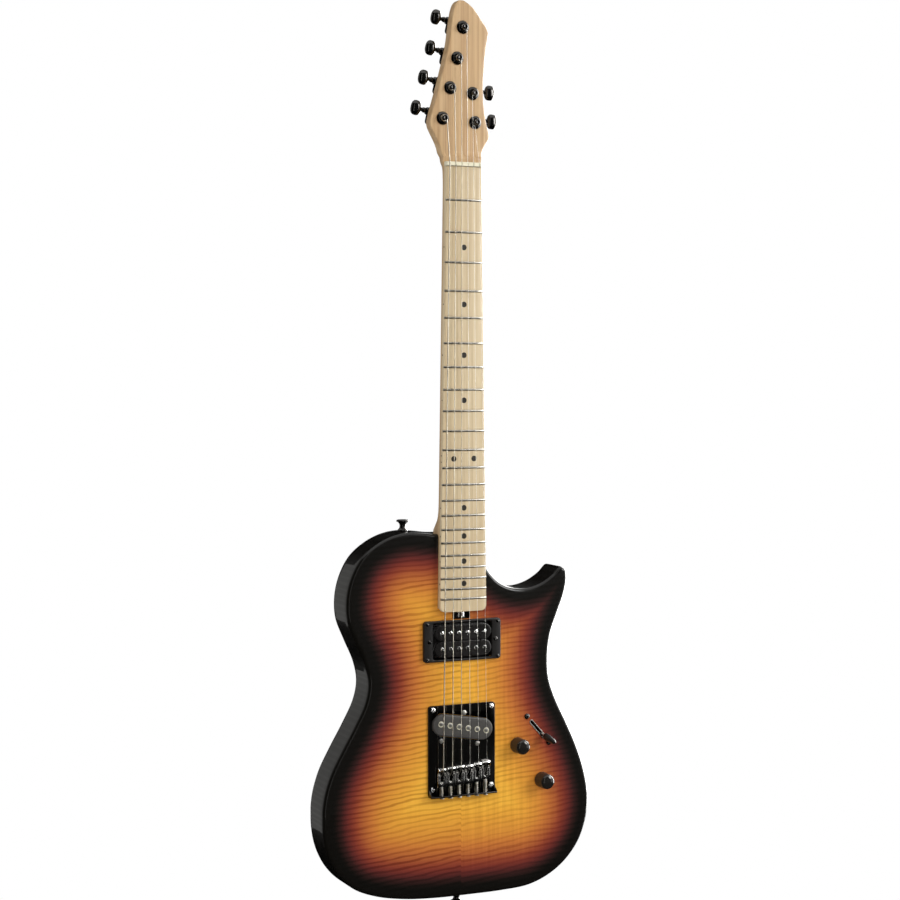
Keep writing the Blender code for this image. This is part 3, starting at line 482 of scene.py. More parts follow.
# ---------------------------------------------------------------- sizes shared by the pieces, millimetres
SCALE, FRETS, BOARD_END, FRET_H, BOARD_BACK = 648.0, 22, 480.0, 1.2, 6.6
BODY_TOP, BODY_BACK, HEAD_FACE, HEAD_BACK = 8.5, 50.5, 10.5, 23.5
RING_Z, PLATE_TOP, PLATE_BACK, REAR_Z, ROD_Y = -511.9, 6.2, 8.2, -681.7, 2.2
NUT_X = 7.0 * (np.arange(6) - 2.5)
SADDLE_X = 10.5 * (np.arange(6) - 2.5)
SADDLE_Z = np.array([-651.0, -650.0, -649.2, -649.2, -648.0, -646.8])
GAUGES = np.array([1.17, 0.91, 0.66, 0.43, 0.33, 0.25])
TAIL_Z = -660.0
TUNERS = [(-21.2, 51.1, -1, 12.8, 25.5), (-12.3, 84.0, -1, 12.8, 25.5), (-4.1, 116.0, -1, 12.8, 25.5),
          (2.5, 149.4, -1, 12.8, 25.5), (14.4, 79.4, 1, -5.0, 28.0), (17.2, 48.3, 1, -5.0, 28.0)]
OUTLINE = [(27.2, -424), (26.8, -410), (23, -400.5), (12, -396.8), (-8, -396.2), (-26, -396),
           (-43, -394), (-62, -393), (-81, -396.6), (-99, -405), (-116, -419), (-127.5, -439),
           (-133, -461), (-132, -485), (-122.5, -509), (-112, -533), (-108, -554), (-112, -575),
           (-124, -599), (-139, -625), (-152, -650), (-159.6, -676), (-161, -702), (-156.5, -730),
           (-144, -755), (-125, -773), (-99, -784), (-66, -790.5), (-30, -793.3), (10, -793.8),
           (50, -793.6), (84, -791), (110, -781.5), (131, -766.5), (147, -746), (156, -721),
           (158.4, -697), (153.5, -668), (143.5, -639), (130, -610), (117, -584), (109, -561),
           (107.3, -538), (110.5, -512), (119, -489), (127.5, -467), (130.6, -450), (128.6, -439.5),
           (122.5, -437.5), (113, -446), (98, -455), (80, -459.6), (63, -458), (48, -451.5),
           (36.5, -441), (30.2, -431.5)]
HEAD = [(178.2, -1.5, 4.0, 0.0, 0.0, 1), (176.0, -4.0, 8.5, 0, 0, 1), (172.0, -6.2, 14.2, 0, 0, 1),
        (166.0, -8.0, 19.8, 0, 0, 1), (158.0, -9.4, 25.9, 0, 0, 1), (150.5, -10.6, 31.5, 0, 0, 1),
        (146.0, -11.3, 33.3, 0, 0, 1), (141.5, -11.9, 32.8, 0, 0, 1), (128.0, -14.0, 30.5, 0, 0, 1),
        (110.0, -18.4, 28.6, 0, 0, 1), (88.0, -24.2, 27.2, 0, 0, 1), (70.0, -29.4, 27.8, 0, 0, 1),
        (55.0, -33.8, 29.8, 0, 0, 1), (48.0, -35.3, 31.0, 0, 0, 1), (43.0, -35.0, 32.4, 0, 0, 1),
        (36.0, -31.8, 34.2, 0, 0, 1), (32.0, -29.6, 34.0, 0, 0, 1), (26.0, -26.4, 30.4, 0, 0, 1),
        (20.0, -23.9, 26.9, 0, 0, 1), (16.0, -22.9, 25.4, -0.2, 0, 1), (13.0, -22.3, 24.5, -1.1, 0, 0.9),
        (11.0, -21.9, 23.8, -2.5, -0.2, 0.8), (10.0, -21.7, 23.4, -3.6, -0.3, 0.75)]
SHAFT = [(4.6, 22.4, 6.9, 22.6, 0.5), (-1.0, 21.2, 6.9, 21.9, 0.3), (-14.0, 0, 6.9, 21.0, 0.1),
         (-34.0, 0, 6.9, 20.6, 0.0), (-120.0, 0, 6.9, 21.2, 0.0), (-220.0, 0, 6.9, 21.8, 0.0),
         (-320.0, 0, 6.9, 22.4, 0.0), (-360.0, 0, 6.9, 22.8, 0.0), (-372.0, 0, 6.9, 23.2, 0.15),
         (-380.0, 0, 6.9, 23.8, 0.4), (-387.0, 0, 6.9, 24.5, 0.75), (-393.0, 0, 6.9, 25.1, 1.0),
         (-476.0, 0, 6.9, 25.1, 1.0)]
CAVITY = [(52, -618), (62, -598), (80, -588), (100, -586), (112, -604), (122, -622), (132, -642),
          (140, -664), (144, -688), (141, -709), (118, -708), (90, -704), (66, -690), (53, -655)]


def fret_z(n):
    return -SCALE * (1 - 2 ** (-n / 12))


def board_half(z):
    return 21.0 + 6.55 * z / fret_z(FRETS)


def crown(x):
    return x * x / 610.0


# ---------------------------------------------------------------- body
def body_grid(line):
    """Rings of the outline: front face shrunk towards the middle, a quarter-round edge, the side, the back."""
    middle = np.array([-3.0, -646.3])
    line = np.maximum(line, [-160.95, -1000.0])
    nrm = outline_normals(line)
    t = np.linspace(0, math.pi / 2, 7)
    rims = [(4.0 * (1 - math.sin(a)), BODY_TOP + 4.0 * (1 - math.cos(a))) for a in t]
    rims += [(0.0, y) for y in (18.0, 26.0, 34.0, 42.0)]
    rims += [(5.0 * (1 - math.cos(a)), BODY_BACK - 5.0 + 5.0 * math.sin(a)) for a in t]
    rings = [np.column_stack([line[:, 0] - nrm[:, 0] * i, np.full(len(line), y), line[:, 1] - nrm[:, 1] * i])
             for i, y in rims]
    centre = np.array([middle[0], 0, middle[1]])
    shares = np.linspace(0, 1, 34)[:-1]
    front = [centre * (1 - s) + rings[0] * [s, 0, s] + [0, BODY_TOP, 0] for s in shares]
    back = [centre * (1 - s) + rings[-1] * [s, 0, s] + [0, BODY_BACK, 0] for s in np.linspace(1, 0, 8)[1:]]
    return np.array(front + rings + back)


def edge_distance(ob, line):
    """Each front point's distance in millimetres to the nearest piece of the outline; 0 behind the front."""
    co = np.zeros(len(ob.data.vertices) * 3, np.float32)
    ob.data.vertices.foreach_get("co", co)
    p = co.reshape(-1, 3) / MM + HANG
    q = p[:, [0, 2]]
    a, b = line, np.roll(line, -1, 0)
    d = b - a
    best = np.full(len(q), 1e9)
    for k in range(0, len(a), 40):
        A, D = a[k:k + 40][None], d[k:k + 40][None]
        s = np.clip(((q[:, None] - A) * D).sum(2) / (D * D).sum(2), 0, 1)
        best = np.minimum(best, np.linalg.norm(q[:, None] - A - D * s[..., None], axis=2).min(1))
    best[p[:, 1] > BODY_TOP + 4.2] = 0.0
    ob.data.attributes.new("edge", "FLOAT", "POINT").data.foreach_set("value", best.astype(np.float32))


def hollow(ob, *cutters):
    """Cuts each cutter out of ob for good, and removes the cutters."""
    for cutter in cutters:
        m = ob.modifiers.new(cutter.name, "BOOLEAN")
        m.operation, m.object, m.solver, m.material_mode = "DIFFERENCE", cutter, "EXACT", "TRANSFER"
    bpy.context.view_layer.update()
    mesh = bpy.data.meshes.new_from_object(ob.evaluated_get(bpy.context.evaluated_depsgraph_get()))
    ob.modifiers.clear()
    ob.data = mesh
    for cutter in cutters:
        bpy.data.objects.remove(cutter)


line = curve(OUTLINE, 8)
body = build("guitar_body", [skin(body_grid(line), "burst")], sharp=50)
h0, h1 = board_half(-380) + 0.3, board_half(-476) + 0.3
pocket = (np.array([(-h0, -380), (h0, -380), (h1, -476.3), (-h1, -476.3)]), np.zeros((4, 2)))
PICKUP = turned(0.2, -606.9, -9.2)
SWITCH = turned(93.7, -617.2, -48.7)
SIDE = seat((0, 29.5, -697.0), (0, 1, 0), (0, 0, 1), (1, 0, 0))
# The cutters carry the near-black painted-shade material, and the cut walls take it over
cuts = [build("cut_pocket", [slab(pocket, [(0, 2), (0, 25.4)], FRONT, "hole")]),
        build("cut_bay", [slab(rounded(21, 14, 2, x=0, z=-482), [(0, 2), (0, 20)], FRONT, "hole")]),
        build("cut_ring", [slab(rounded(73, 41, 6, x=0, z=RING_Z), [(0, 2), (0, 24)], FRONT, "hole")]),
        build("cut_slot", [slab(rounded(27, 3.4, 1.65), [(0, 2), (0, 15)], SWITCH, "hole")]),
        build("cut_jack", [slab(rounded(25, 37, 3), [(0, 156.6), (0, 170)], SIDE, "lacquer")])]
hollow(body, *cuts)
edge_distance(body, line)
body.data.shade_smooth()
body.data.set_sharp_from_angle(angle=math.radians(45))
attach(body, "guitar")
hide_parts("body_core", "body_top")


# ---------------------------------------------------------------- neck
def neck_grid():
    """Stations up the neck; each is a flat front, softened front corners, and a back between half-round and block."""
    rows = [(z, xl, xr, HEAD_FACE + dy, HEAD_BACK + by, sq, 1.0) for z, xl, xr, dy, by, sq in HEAD[:-2]]
    rows += [(z, xl, xr, HEAD_FACE + dy, HEAD_BACK + by, sq, 0.3) for z, xl, xr, dy, by, sq in HEAD[-2:]]
    rows += [(z, -(h or board_half(z)), h or board_half(z), y0, y1, sq, 0.08) for z, h, y0, y1, sq in SHAFT]
    cols = curve(rows, 6, closed=False)
    z, xl, xr, y0, y1, sq, soft = (cols[:, k][:, None] for k in range(7))
    sq, soft = np.clip(sq, 0, 1), np.clip(soft, 0.05, 1.0)
    xc, a, d = (xl + xr) / 2, (xr - xl) / 2, y1 - y0
    q = np.minimum(1.3 * soft, 0.3 * a)
    rb = np.minimum(2.0, 0.4 * a)
    f = np.linspace(-1, 1, 11)[None]
    t = np.linspace(0, math.pi / 2, 5)[None, 1:]
    back = np.linspace(0, 1, 25)[None, 1:-1]
    ang = back * math.pi
    half_x, half_y = np.cos(ang), np.abs(np.sin(ang)) ** 0.85
    arc = np.linspace(0, math.pi / 2, 6)[None]
    one = np.ones_like(a)
    block_x = np.concatenate([one * a * np.ones((1, 4)), a - rb + rb * np.cos(arc), (a - rb) * np.linspace(0.7, -0.7, 3)[None],
                              -(a - rb) - rb * np.sin(arc), -one * a * np.ones((1, 4))], 1)
    block_y = np.concatenate([d * np.array([[0.2, 0.4, 0.6, 0.75]]), d - rb + rb * np.sin(arc), d * np.ones((1, 3)),
                              d - rb + rb * np.cos(arc), d * np.array([[0.75, 0.6, 0.4, 0.2]])], 1)
    bx = half_x * a * (1 - sq) + block_x * sq
    by = half_y * d * (1 - sq) + block_y * sq
    px = np.concatenate([f * (a - q), a - q + q * np.sin(t), bx, -(a - q) - q * np.cos(t - TAU / 4 + TAU / 4)[:, ::1]], 1)
    py = np.concatenate([0 * f * a, q - q * np.cos(t), by, q - q * np.sin(t)], 1)
    grid = np.stack([xc + px, y0 + py, z + 0 * px], -1)
    ends = [np.repeat(grid[k].mean(0)[None], grid.shape[1], 0)[None] for k in (0, -1)]
    return np.concatenate([ends[0], grid, ends[1]])


neck = build("neck_shaft_and_head", [skin(neck_grid(), "head")], "guitar", ["neck"], sharp=55)


def board_grid():
    """Playing surface: an arc of camber across, widening along, with rounded long edges and end corners."""
    z = np.concatenate([[-0.3], np.linspace(-0.8, -474, 90), -480 + 6 * (1 - np.sin(np.linspace(0.1, 1.57, 9)))])
    h = board_half(z)
    end = np.clip((-z - 474.0) / 6.0, 0, 1)
    h = h - 6.0 * (1 - np.sqrt(1 - end ** 2 * 0.999))
    h = h[:, None]
    s = np.linspace(-1, 1, 15)[None]
    t = np.linspace(0, 1, 5)[None]
    r = 0.9
    x = np.concatenate([-h + 0 * t[:, :1], -h + r * (1 - np.cos(t * 1.57)), s * (h - r), h - r * (1 - np.sin(t * 1.57 + 1.57)) * 1.0,
                        h + 0 * t[:, :1]], 1)
    top = crown(x) + FRET_H
    y = np.concatenate([BOARD_BACK + 0 * h, (top[:, 1:6] + r * (1 - np.sin(t * 1.57))), top[:, 6:21],
                        (top[:, 21:26] + r * (1 - np.cos(t * 1.57))), BOARD_BACK + 0 * h], 1)
    x[:, 21:26] = h - r + r * np.sin(t * 1.57)
    grid = np.stack([x, y, z[:, None] + 0 * x], -1)
    ends = [np.repeat(grid[k].mean(0)[None], grid.shape[1], 0)[None] for k in (0, -1)]
    return np.concatenate([ends[0], grid, ends[1]])


def fret_grid(n):
    """Half-round wire across the board: crown follows the camber, ends bevelled down to nothing."""
    z0, h = fret_z(n), board_half(fret_z(n)) - 0.1
    x = np.concatenate([[-h], np.linspace(-h + 0.25, h - 0.25, 15), [h]])[:, None]
    rise = np.clip((h - abs(x)) / 1.0 + 0.35, 0, 1)
    rise[[0, -1]] = 0.05
    t = np.linspace(0, math.pi, 9)[None]
    y = crown(x) + FRET_H - FRET_H * rise * np.sin(t) ** 0.7
    z = z0 + 1.2 * np.cos(t) + 0 * x
    under = np.stack([x, crown(x) + FRET_H + 0.4, z0 + 0 * x], -1)
    return np.concatenate([np.stack([x + 0 * t, y, z], -1), under], 1)


def dot(x, z, r):
    """Round inlay lying in the camber, a hair proud, with its rim turned down."""
    a = np.arange(28) * TAU / 28
    rr = np.array([0, 0.5, 0.9, 1.0, 1.0])[:, None] * r
    lift = np.array([0.05, 0.05, 0.045, 0.02, -0.2])[:, None]
    px = x + rr * np.cos(a)
    return skin(np.stack([px, crown(px) + FRET_H - lift, z + rr * np.sin(a)], -1), "ink")


board = build("playing_board", [skin(board_grid(), "board")], "guitar", ["fretboard"], sharp=50)
build("fret_wires", [skin(fret_grid(n), "steel") for n in range(1, FRETS + 1)], "guitar")
marks = []
for n in (3, 5, 7, 9, 15, 17, 19, 21):
    marks.append(dot(0.0, (fret_z(n) + fret_z(n - 1)) / 2, 3.1))
z12 = (fret_z(12) + fret_z(11)) / 2
marks += [dot(-12.0, z12, 3.1), dot(12.0, z12, 3.1)]
for n in (3, 5, 7, 9, 12, 15, 17, 19, 21):
    zs = (fret_z(n) + fret_z(n - 1)) / 2
    for dz in ((-3.5, 3.5) if n == 12 else (0,)):
        at = seat((-board_half(zs), 4.4, zs + dz), (0, 0, 1), (0, 1, 0), (-1, 0, 0))
        marks.append(lathe([(0, 0.08), (0.9, 0.06), (1.0, -0.3), (0, -0.3)], at, "ink", 16, 0))
build("position_marks", marks, "guitar")


def nut_grid():
    """Nut: a thin block whose top dips at each string, carried from the headstock side to the board side."""
    x = np.linspace(-21, 21, 253)
    lip = -1.35 + crown(x) * 0.6
    lip = lip + 1.2 * (np.clip((abs(x) - 19.6) / 1.4, 0, 1) ** 2)
    y0 = -0.5 + crown(NUT_X)
    for k in range(6):
        w = GAUGES[k] / 2 + 0.22
        lip = np.where(abs(x - NUT_X[k]) < w, y0[k] + 0.3, lip)
    rows = []
    for z, drop in ((0.0, 0.35), (0.25, 0.05), (0.7, 0.0), (2.2, 0.0), (3.6, 0.35), (4.2, 0.9), (4.4, 1.5)):
        rows.append(np.concatenate([np.stack([x, np.minimum(lip + drop, 6.5), np.full_like(x, z)], -1),
                                    [[21, BOARD_BACK, z], [-21, BOARD_BACK, z]]]))
    ends = [np.repeat(np.array(r).mean(0)[None], len(r), 0) for r in (rows[0], rows[-1])]
    return np.array([ends[0]] + rows + [ends[1]])


build("string_nut", [skin(nut_grid(), "bone")], "guitar", ["nut"], sharp=30)


# ---------------------------------------------------------------- strings
def string_y(i, z):
    y0, y1 = -0.5 + crown(NUT_X[i]), -3.3 + crown(SADDLE_X[i])
    return y0 + (y1 - y0) * z / SADDLE_Z[i]


WIRES = [wire_finish("wound_%d" % (i + 1), (0.78, 0.73, 0.62), 1.0) if i < 3 else
         wire_finish("plain_%d" % (i + 1), (0.86, 0.84, 0.79), 40.0) for i in range(6)]


def wire(name, path, i, stands=(), body=None, ends=None):
    p = np.array(path, float)
    grid, _, lu, lv = tube(p, GAUGES[i] / 2, "steel", 10 if i < 3 else 8)
    along = np.concatenate([[0], np.cumsum(np.linalg.norm(np.diff(p, axis=0), axis=1))])
    along = np.concatenate([[0], along, [along[-1]]])
    run = np.repeat(along[:, None], grid.shape[1], 1)
    ob = build(name, [(grid, WIRES[i], lu, lv)], body, stands, 60, run)
    if ends:
        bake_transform(ob)
    return ob


for i in range(6):
    k = i + 1
    x, z, side, _, _ = TUNERS[i]
    r = GAUGES[i] / 2
    xs, zs, xn = SADDLE_X[i], SADDLE_Z[i], NUT_X[i]
    ys, yn = string_y(i, zs) - r, string_y(i, 0) - r
    contact = (xs, ys, zs)
    t = np.linspace(0, 1, 60)[:, None]
    run_path = np.array([xn, yn, 0.4]) * (1 - t) + np.array(contact) * t
    wire("string_%d_run" % k, run_path, i, ["string_%d" % k], ends=("guitar", "saddle_%d" % k, (xn, yn, 0), contact))
    tail = curve([contact, (xs, ys + 0.35, zs - 1.5), (xs, ys + 2.0, zs - 3.6), (xs, 4.4, TAIL_Z + 0.8),
                  (xs, 9.0, TAIL_Z), (xs, 16.0, TAIL_Z)], 5, closed=False)
    wire("string_%d_tail" % k, tail, i, ends=("saddle_%d" % k, "guitar", contact, (xs, 9.0, TAIL_Z)))
    turn, wrap = -side, 2.4 + r + 0.05
    yw = 5.2
    lead = curve([(xn, yn, 0.4), (xn, yn, 2.2), (xn + (x + turn * wrap - xn) * 0.06, yn + 0.35, 5.0),
                  (x + turn * wrap, yw, z - 2.0), (x + turn * wrap, yw, z)], 5, closed=False)
    wire("string_%d_lead" % k, lead, i, body="guitar")
    loops = 2.6
    a = np.linspace(0, loops * TAU, int(loops * 24))
    pitch = min(2 * r * 1.08, 0.9)
    coil = np.stack([x + turn * wrap * np.cos(a), yw + pitch * a / TAU - 0.0, z + wrap * np.sin(a)], -1)
    coil[:, 1] = yw + np.minimum(coil[:, 1] - yw, 1.9)
    wire("string_%d_coil" % k, coil, i, body="post_%d" % k)


# ---------------------------------------------------------------- studio
def floor_finish():
    """Pale floor with a faint mottling; white to the camera and to reflections."""
    f = Finish("pale_floor", (0.8, 0.8, 0.8), 0.8)
    mottle = f.mix(f.grain((1, 1, 1), 3.0), (0.84, 0.84, 0.84), (0.80, 0.80, 0.80))
    f.to(Base_Color=mottle)
    path = f.tree.nodes.new("ShaderNodeLightPath")
    seen = Value(f, path.outputs["Is Camera Ray"]) + Value(f, path.outputs["Is Glossy Ray"]) \
        + Value(f, path.outputs["Is Transmission Ray"])
    seen = f.node("ShaderNodeClamp", sockets={0: seen})
    glow = f.node("ShaderNodeEmission", sockets={0: (1, 1, 1), 1: 1.0})
    both = f.tree.nodes.new("ShaderNodeMixShader")
    f.tree.links.new(seen.socket, both.inputs[0])
    f.tree.links.new(f.shader.outputs[0], both.inputs[1])
    f.tree.links.new(glow.socket, both.inputs[2])
    f.tree.links.new(both.outputs[0], f.tree.nodes["Material Output"].inputs[0])
    return f.mat


def panel(name, corners, mat, **hidden):
    mesh = bpy.data.meshes.new(name)
    mesh.from_pydata([tuple(c) for c in corners], [], [(0, 1, 2, 3)])
    mesh.materials.append(mat)
    ob = bpy.data.objects.new(name, mesh)
    bpy.context.scene.collection.objects.link(ob)
    for key, value in hidden.items():
        setattr(ob, "visible_" + key, value)
    return ob


panel("floor", [(-8, -8, -1.6), (8, -8, -1.6), (8, 8, -1.6), (-8, 8, -1.6)], floor_finish())
black = Finish("studio_flag", (0.004, 0.004, 0.004), 1.0, spec=0.0).mat
only_glossy = dict(camera=False, diffuse=False, shadow=False, transmission=False)


def dim(strength):
    """A glowing cloth of this strength, with a slow unevenness."""
    f = Finish("glow_%d" % round(strength * 100), (0.0, 0.0, 0.0), 1.0, spec=0.0)
    f.shader.inputs["Emission Strength"].default_value = strength
    return f.to(Emission_Color=f.mix(f.grain((1, 1, 1), 0.8), (1.0, 0.99, 0.96), (0.90, 0.89, 0.86)))


panel("flag_left", [(-3.2, 0.35, -3.0), (-1.0, -3.6, -3.0), (-1.0, -3.6, 3.0), (-3.2, 0.35, 3.0)], black, **only_glossy)
panel("flag_behind", [(-3.2, 0.35, -3.0), (-0.9, 2.8, -3.0), (-0.9, 2.8, 3.4), (-3.2, 0.35, 3.4)], dim(0.45), **only_glossy)
panel("flag_front", [(-1.0, -3.6, -3.0), (3.1, -3.5, -3.0), (3.1, -3.5, 3.0), (-1.0, -3.6, 3.0)], dim(0.04), **only_glossy)
panel("flag_back", [(-0.9, 2.8, -3.0), (2.0, 3.4, -3.0), (2.0, 3.4, 3.4), (-0.9, 2.8, 3.4)], black, **only_glossy)
panel("flag_floor", [(-3.2, -3.9, -1.58), (3.2, -3.9, -1.58), (3.2, 5.0, -1.58), (-3.2, 5.0, -1.58)], black, **only_glossy)
panel("strip_right", [(2.6, -0.3, -1.5), (2.6, 3.0, -1.5), (2.6, 3.0, 1.8), (2.6, -0.3, 1.8)], dim(15.0), **only_glossy)
panel("strip_left", [(-1.1, -3.3, -1.5), (-0.75, -3.35, -1.5), (-0.75, -3.35, 2.2), (-1.1, -3.3, 2.2)], dim(2.0), **only_glossy)


def lamp(name, place, target, size, power, colour=(1, 1, 1)):
    light = bpy.data.lights.new(name, "AREA")
    light.shape, light.size, light.size_y, light.energy, light.color = "RECTANGLE", size[0], size[1], power, colour
    ob = bpy.data.objects.new(name, light)
    ob.location = place
    ob.rotation_euler = (Vector(target) - Vector(place)).to_track_quat("-Z", "Y").to_euler()
    bpy.context.scene.collection.objects.link(ob)


lamp("key", (1.5, -1.5, 0.35), (0, 0, -0.35), (0.7, 1.3), 26)
lamp("fill", (-1.6, -2.4, 0.9), (0, 0, -0.35), (1.6, 1.6), 24)
lamp("back_right", (1.4, 1.2, 0.2), (0, 0, -0.35), (0.8, 1.6), 14)
bpy.data.objects["fill"].visible_glossy = False

world = bpy.data.worlds.new("studio")
bpy.context.scene.world = world
world.use_nodes = True
wt = world.node_tree
wl = wt.nodes.new("ShaderNodeLightPath")
wa = wt.nodes.new("ShaderNodeMath")
wb = wt.nodes.new("ShaderNodeMath")
wm = wt.nodes.new("ShaderNodeMath")
wa.operation = wb.operation = "MAXIMUM"
wm.operation = "MULTIPLY_ADD"
wt.links.new(wl.outputs["Is Camera Ray"], wa.inputs[0])
wt.links.new(wl.outputs["Is Glossy Ray"], wa.inputs[1])
wt.links.new(wa.outputs[0], wb.inputs[0])
wt.links.new(wl.outputs["Is Transmission Ray"], wb.inputs[1])
wt.links.new(wb.outputs[0], wm.inputs[0])
wm.inputs[1].default_value, wm.inputs[2].default_value = 0.45, 0.55
wt.links.new(wm.outputs[0], wt.nodes["Background"].inputs[1])
wt.nodes["Background"].inputs[0].default_value = (1, 1, 1, 1)
bpy.context.scene.view_settings.view_transform = "Standard"

# ---------------------------------------------------------------- tuners
def pill(at, a, b, c, mat, power=2.6, nu=15, nv=28):
    """Superellipsoid: a button's rounded oval, half sizes a, b, c along the seat's directions."""
    u = np.linspace(-math.pi / 2, math.pi / 2, nu)[:, None]
    v = (np.arange(nv) * TAU / nv)[None]
    bend = (lambda w, e: np.sign(w) * np.abs(w) ** (2 / e))
    return skin(at(bend(np.cos(u), power) * bend(np.cos(v), 2.2) * a, bend(np.cos(u), power) * bend(np.sin(v), 2.2) * b,
                   bend(np.sin(u), power) * c + 0 * v), mat)


for k, (x, z, side, lean, reach) in enumerate(TUNERS, 1):
    a = math.radians(lean)
    out = np.array([side * math.cos(a), 0, math.sin(a)])
    up = np.array([-side * math.sin(a), 0, math.cos(a)])
    post = seat((x, 0, z), out, up)
    shaft = seat((x + up[0] * 6.8, 28.5, z + up[2] * 6.8), (0, 1, 0), up, out)
    house = [slab(rounded(18.8, 19.8, 4.0, x=1.5, z=3.0), soften([(0, 23.8), (0, 32.6), (2.2, 34.8), (6.5, 35.0)], 1.2),
                  post, "black_chrome"),
             lathe([(0, 10.3), (7.2, 10.3), (7.2, 9.6), (6.4, 8.7), (4.9, 7.9), (3.25, 7.7), (3.25, 12)], post,
                   "black_chrome", 48, 0.35),
             lathe([(2.35, 8), (4.2, 8), (4.2, 12.6), (3.4, 13.9), (2.35, 14.0)], shaft, "black_chrome", 32, 0.4, True),
             cross_screw(seat((x + out[0] * -4.5 + up[0] * 8.6, 0, z + out[2] * -4.5 + up[2] * 8.6), out, up, (0, -1, 0)),
                         -35.4, 1.5, -0.5, "zinc", 24)]
    build("tuner_case_%d" % k, house, "guitar", ["tuner_housing_%d" % k])
    build("tuner_capstan_%d" % k,
          [lathe([(0, 3.2), (1.1, 3.2), (1.35, 1.85), (2.5, 1.82), (3.0, 2.4), (3.0, 3.2), (2.4, 4.0), (2.4, 7.2),
                  (3.0, 7.9), (3.0, 30.0), (0, 30.0)], post, "black_chrome", 40, 0.3)],
          "post_%d" % k, ["tuner_post_%d" % k])
    knob_at = seat(shaft(0, 0, np.array(float(reach))), (0, 1, 0), up, out)
    build("tuner_key_%d" % k,
          [pill(knob_at, 3.95, 8.2, 5.85, "black_chrome"),
           lathe([(2.0, -4.0), (2.0, 14.4), (2.9, 15.0), (2.9, 16.8), (2.2, 17.6), (2.0, reach - 5), (2.9, reach - 4.4)],
                 shaft, "black_chrome", 24, 0.3)],
          "button_%d" % k, ["tuner_button_%d" % k])

# ---------------------------------------------------------------- bridge
plate_out = rounded(80.0, 99.8, 3.5, 11, x=0, z=-631.8)
ang = np.arctan2(plate_out[0][:, 1] + 606.9, plate_out[0][:, 0] - 0.2)


def stadium_at(length, width, angles, lean=math.radians(-9.2), x=0.2, z=-606.9):
    """Points of a leaning stadium where rays at these angles from its middle meet it, and the normals there."""
    t = angles - lean
    h, r = (length - width) / 2, width / 2
    dx, dz = np.cos(t), np.sin(t)
    flat = r / np.maximum(abs(dz), 1e-9)
    on_flat = abs(dx * flat) <= h
    b = abs(dx) * h
    far = b + np.sqrt(np.maximum(b * b - (h * h - r * r), 0))
    reach = np.where(on_flat, flat, far)
    p = np.stack([dx * reach, dz * reach], -1)
    cx = np.clip(p[:, 0], -h, h)
    n = np.stack([p[:, 0] - cx, p[:, 1]], -1) / r
    c, s = math.cos(lean), math.sin(lean)
    spin = (lambda q: np.stack([q[:, 0] * c - q[:, 1] * s, q[:, 0] * s + q[:, 1] * c], -1))
    return spin(p) + [x, z], spin(n)


def refined(shape, extra=10):
    """The same outline with straight runs divided, so that rays through it are close together."""
    p, n = shape
    q, m = np.roll(p, -1, 0), np.roll(n, -1, 0)
    t = (np.arange(extra) / extra)[None, :, None]
    return ((p[:, None] * (1 - t) + q[:, None] * t).reshape(-1, 2), (n[:, None] * (1 - t) + m[:, None] * t).reshape(-1, 2))


plate_out = refined(rounded(80.0, 99.8, 3.5, 5, x=0, z=-631.8), 8)
ang = np.arctan2(plate_out[0][:, 1] + 606.9, plate_out[0][:, 0] - 0.2)
hole = stadium_at(74.0, 25.2, ang)
bridge = [hoop(plate_out, hole, PLATE_TOP, PLATE_BACK, FRONT, "black_chrome", 0.5)]
LIP = seat((0, 0, 0))
lip_shape = rounded(79.2, 2.0, 0.9, 4, x=0, z=REAR_Z + 1.1)
bridge.append(slab(lip_shape, soften([(0, 8.0), (0, -0.6), (0.5, -1.2), (0.95, -1.25)], 0.4), FRONT, "black_chrome"))
for sx in (-1, 1):
    wing = (np.array([(REAR_Z + 2, -0.8), (REAR_Z + 2, 6.4), (REAR_Z + 9, 6.4), (REAR_Z + 7, 5.7), (REAR_Z + 3.2, 0.6)]),
            np.zeros((5, 2)))
    bridge.append(slab(wing, [(0, sx * 39.5), (0, sx * 38.3)], seat((0, 0, 0), (0, 0, 1), (0, 1, 0), (1, 0, 0)),
                       "black_chrome"))
build("bridge_base", bridge, "guitar", ["bridge_plate"], sharp=35)
screws = [cross_screw(seat((x, 0, z)), PLATE_TOP - 0.15, 3.0, 1.3, "chrome", turn=0.5 + x * 0.02)
          for x in (-35.0, 35.0) for z in (-586.5, -673.5)]
screws += [cross_screw(seat((x, 0, z)), PLATE_TOP - 0.2, 2.7, 1.3, "zinc", turn=0.2 + x)
           for x, z in ((-24.7, -620.5), (2.6, -591.4), (18.3, -626.2))]
build("bridge_screws", screws, "guitar")
rods = []
for x in SADDLE_X:
    down = seat((x, ROD_Y, 0), (1, 0, 0), (0, 1, 0), (0, 0, -1))
    s = np.linspace(0, 1, 66)
    rods.append(lathe(np.concatenate([[(0, 664.2)], np.stack([1.42 + 0.08 * np.sin(s * TAU * 22), 664.2 + s * 16.4], -1),
                                      [(1.5, 681.9)]]), down, "zinc", 16, 0))
    rods.append(cross_screw(seat((x, ROD_Y, 0), (1, 0, 0), (0, -1, 0), (0, 0, 1)), REAR_Z - 1.1, 2.7, 0.5, "zinc", 28))
build("intonation_screws", rods, "guitar")

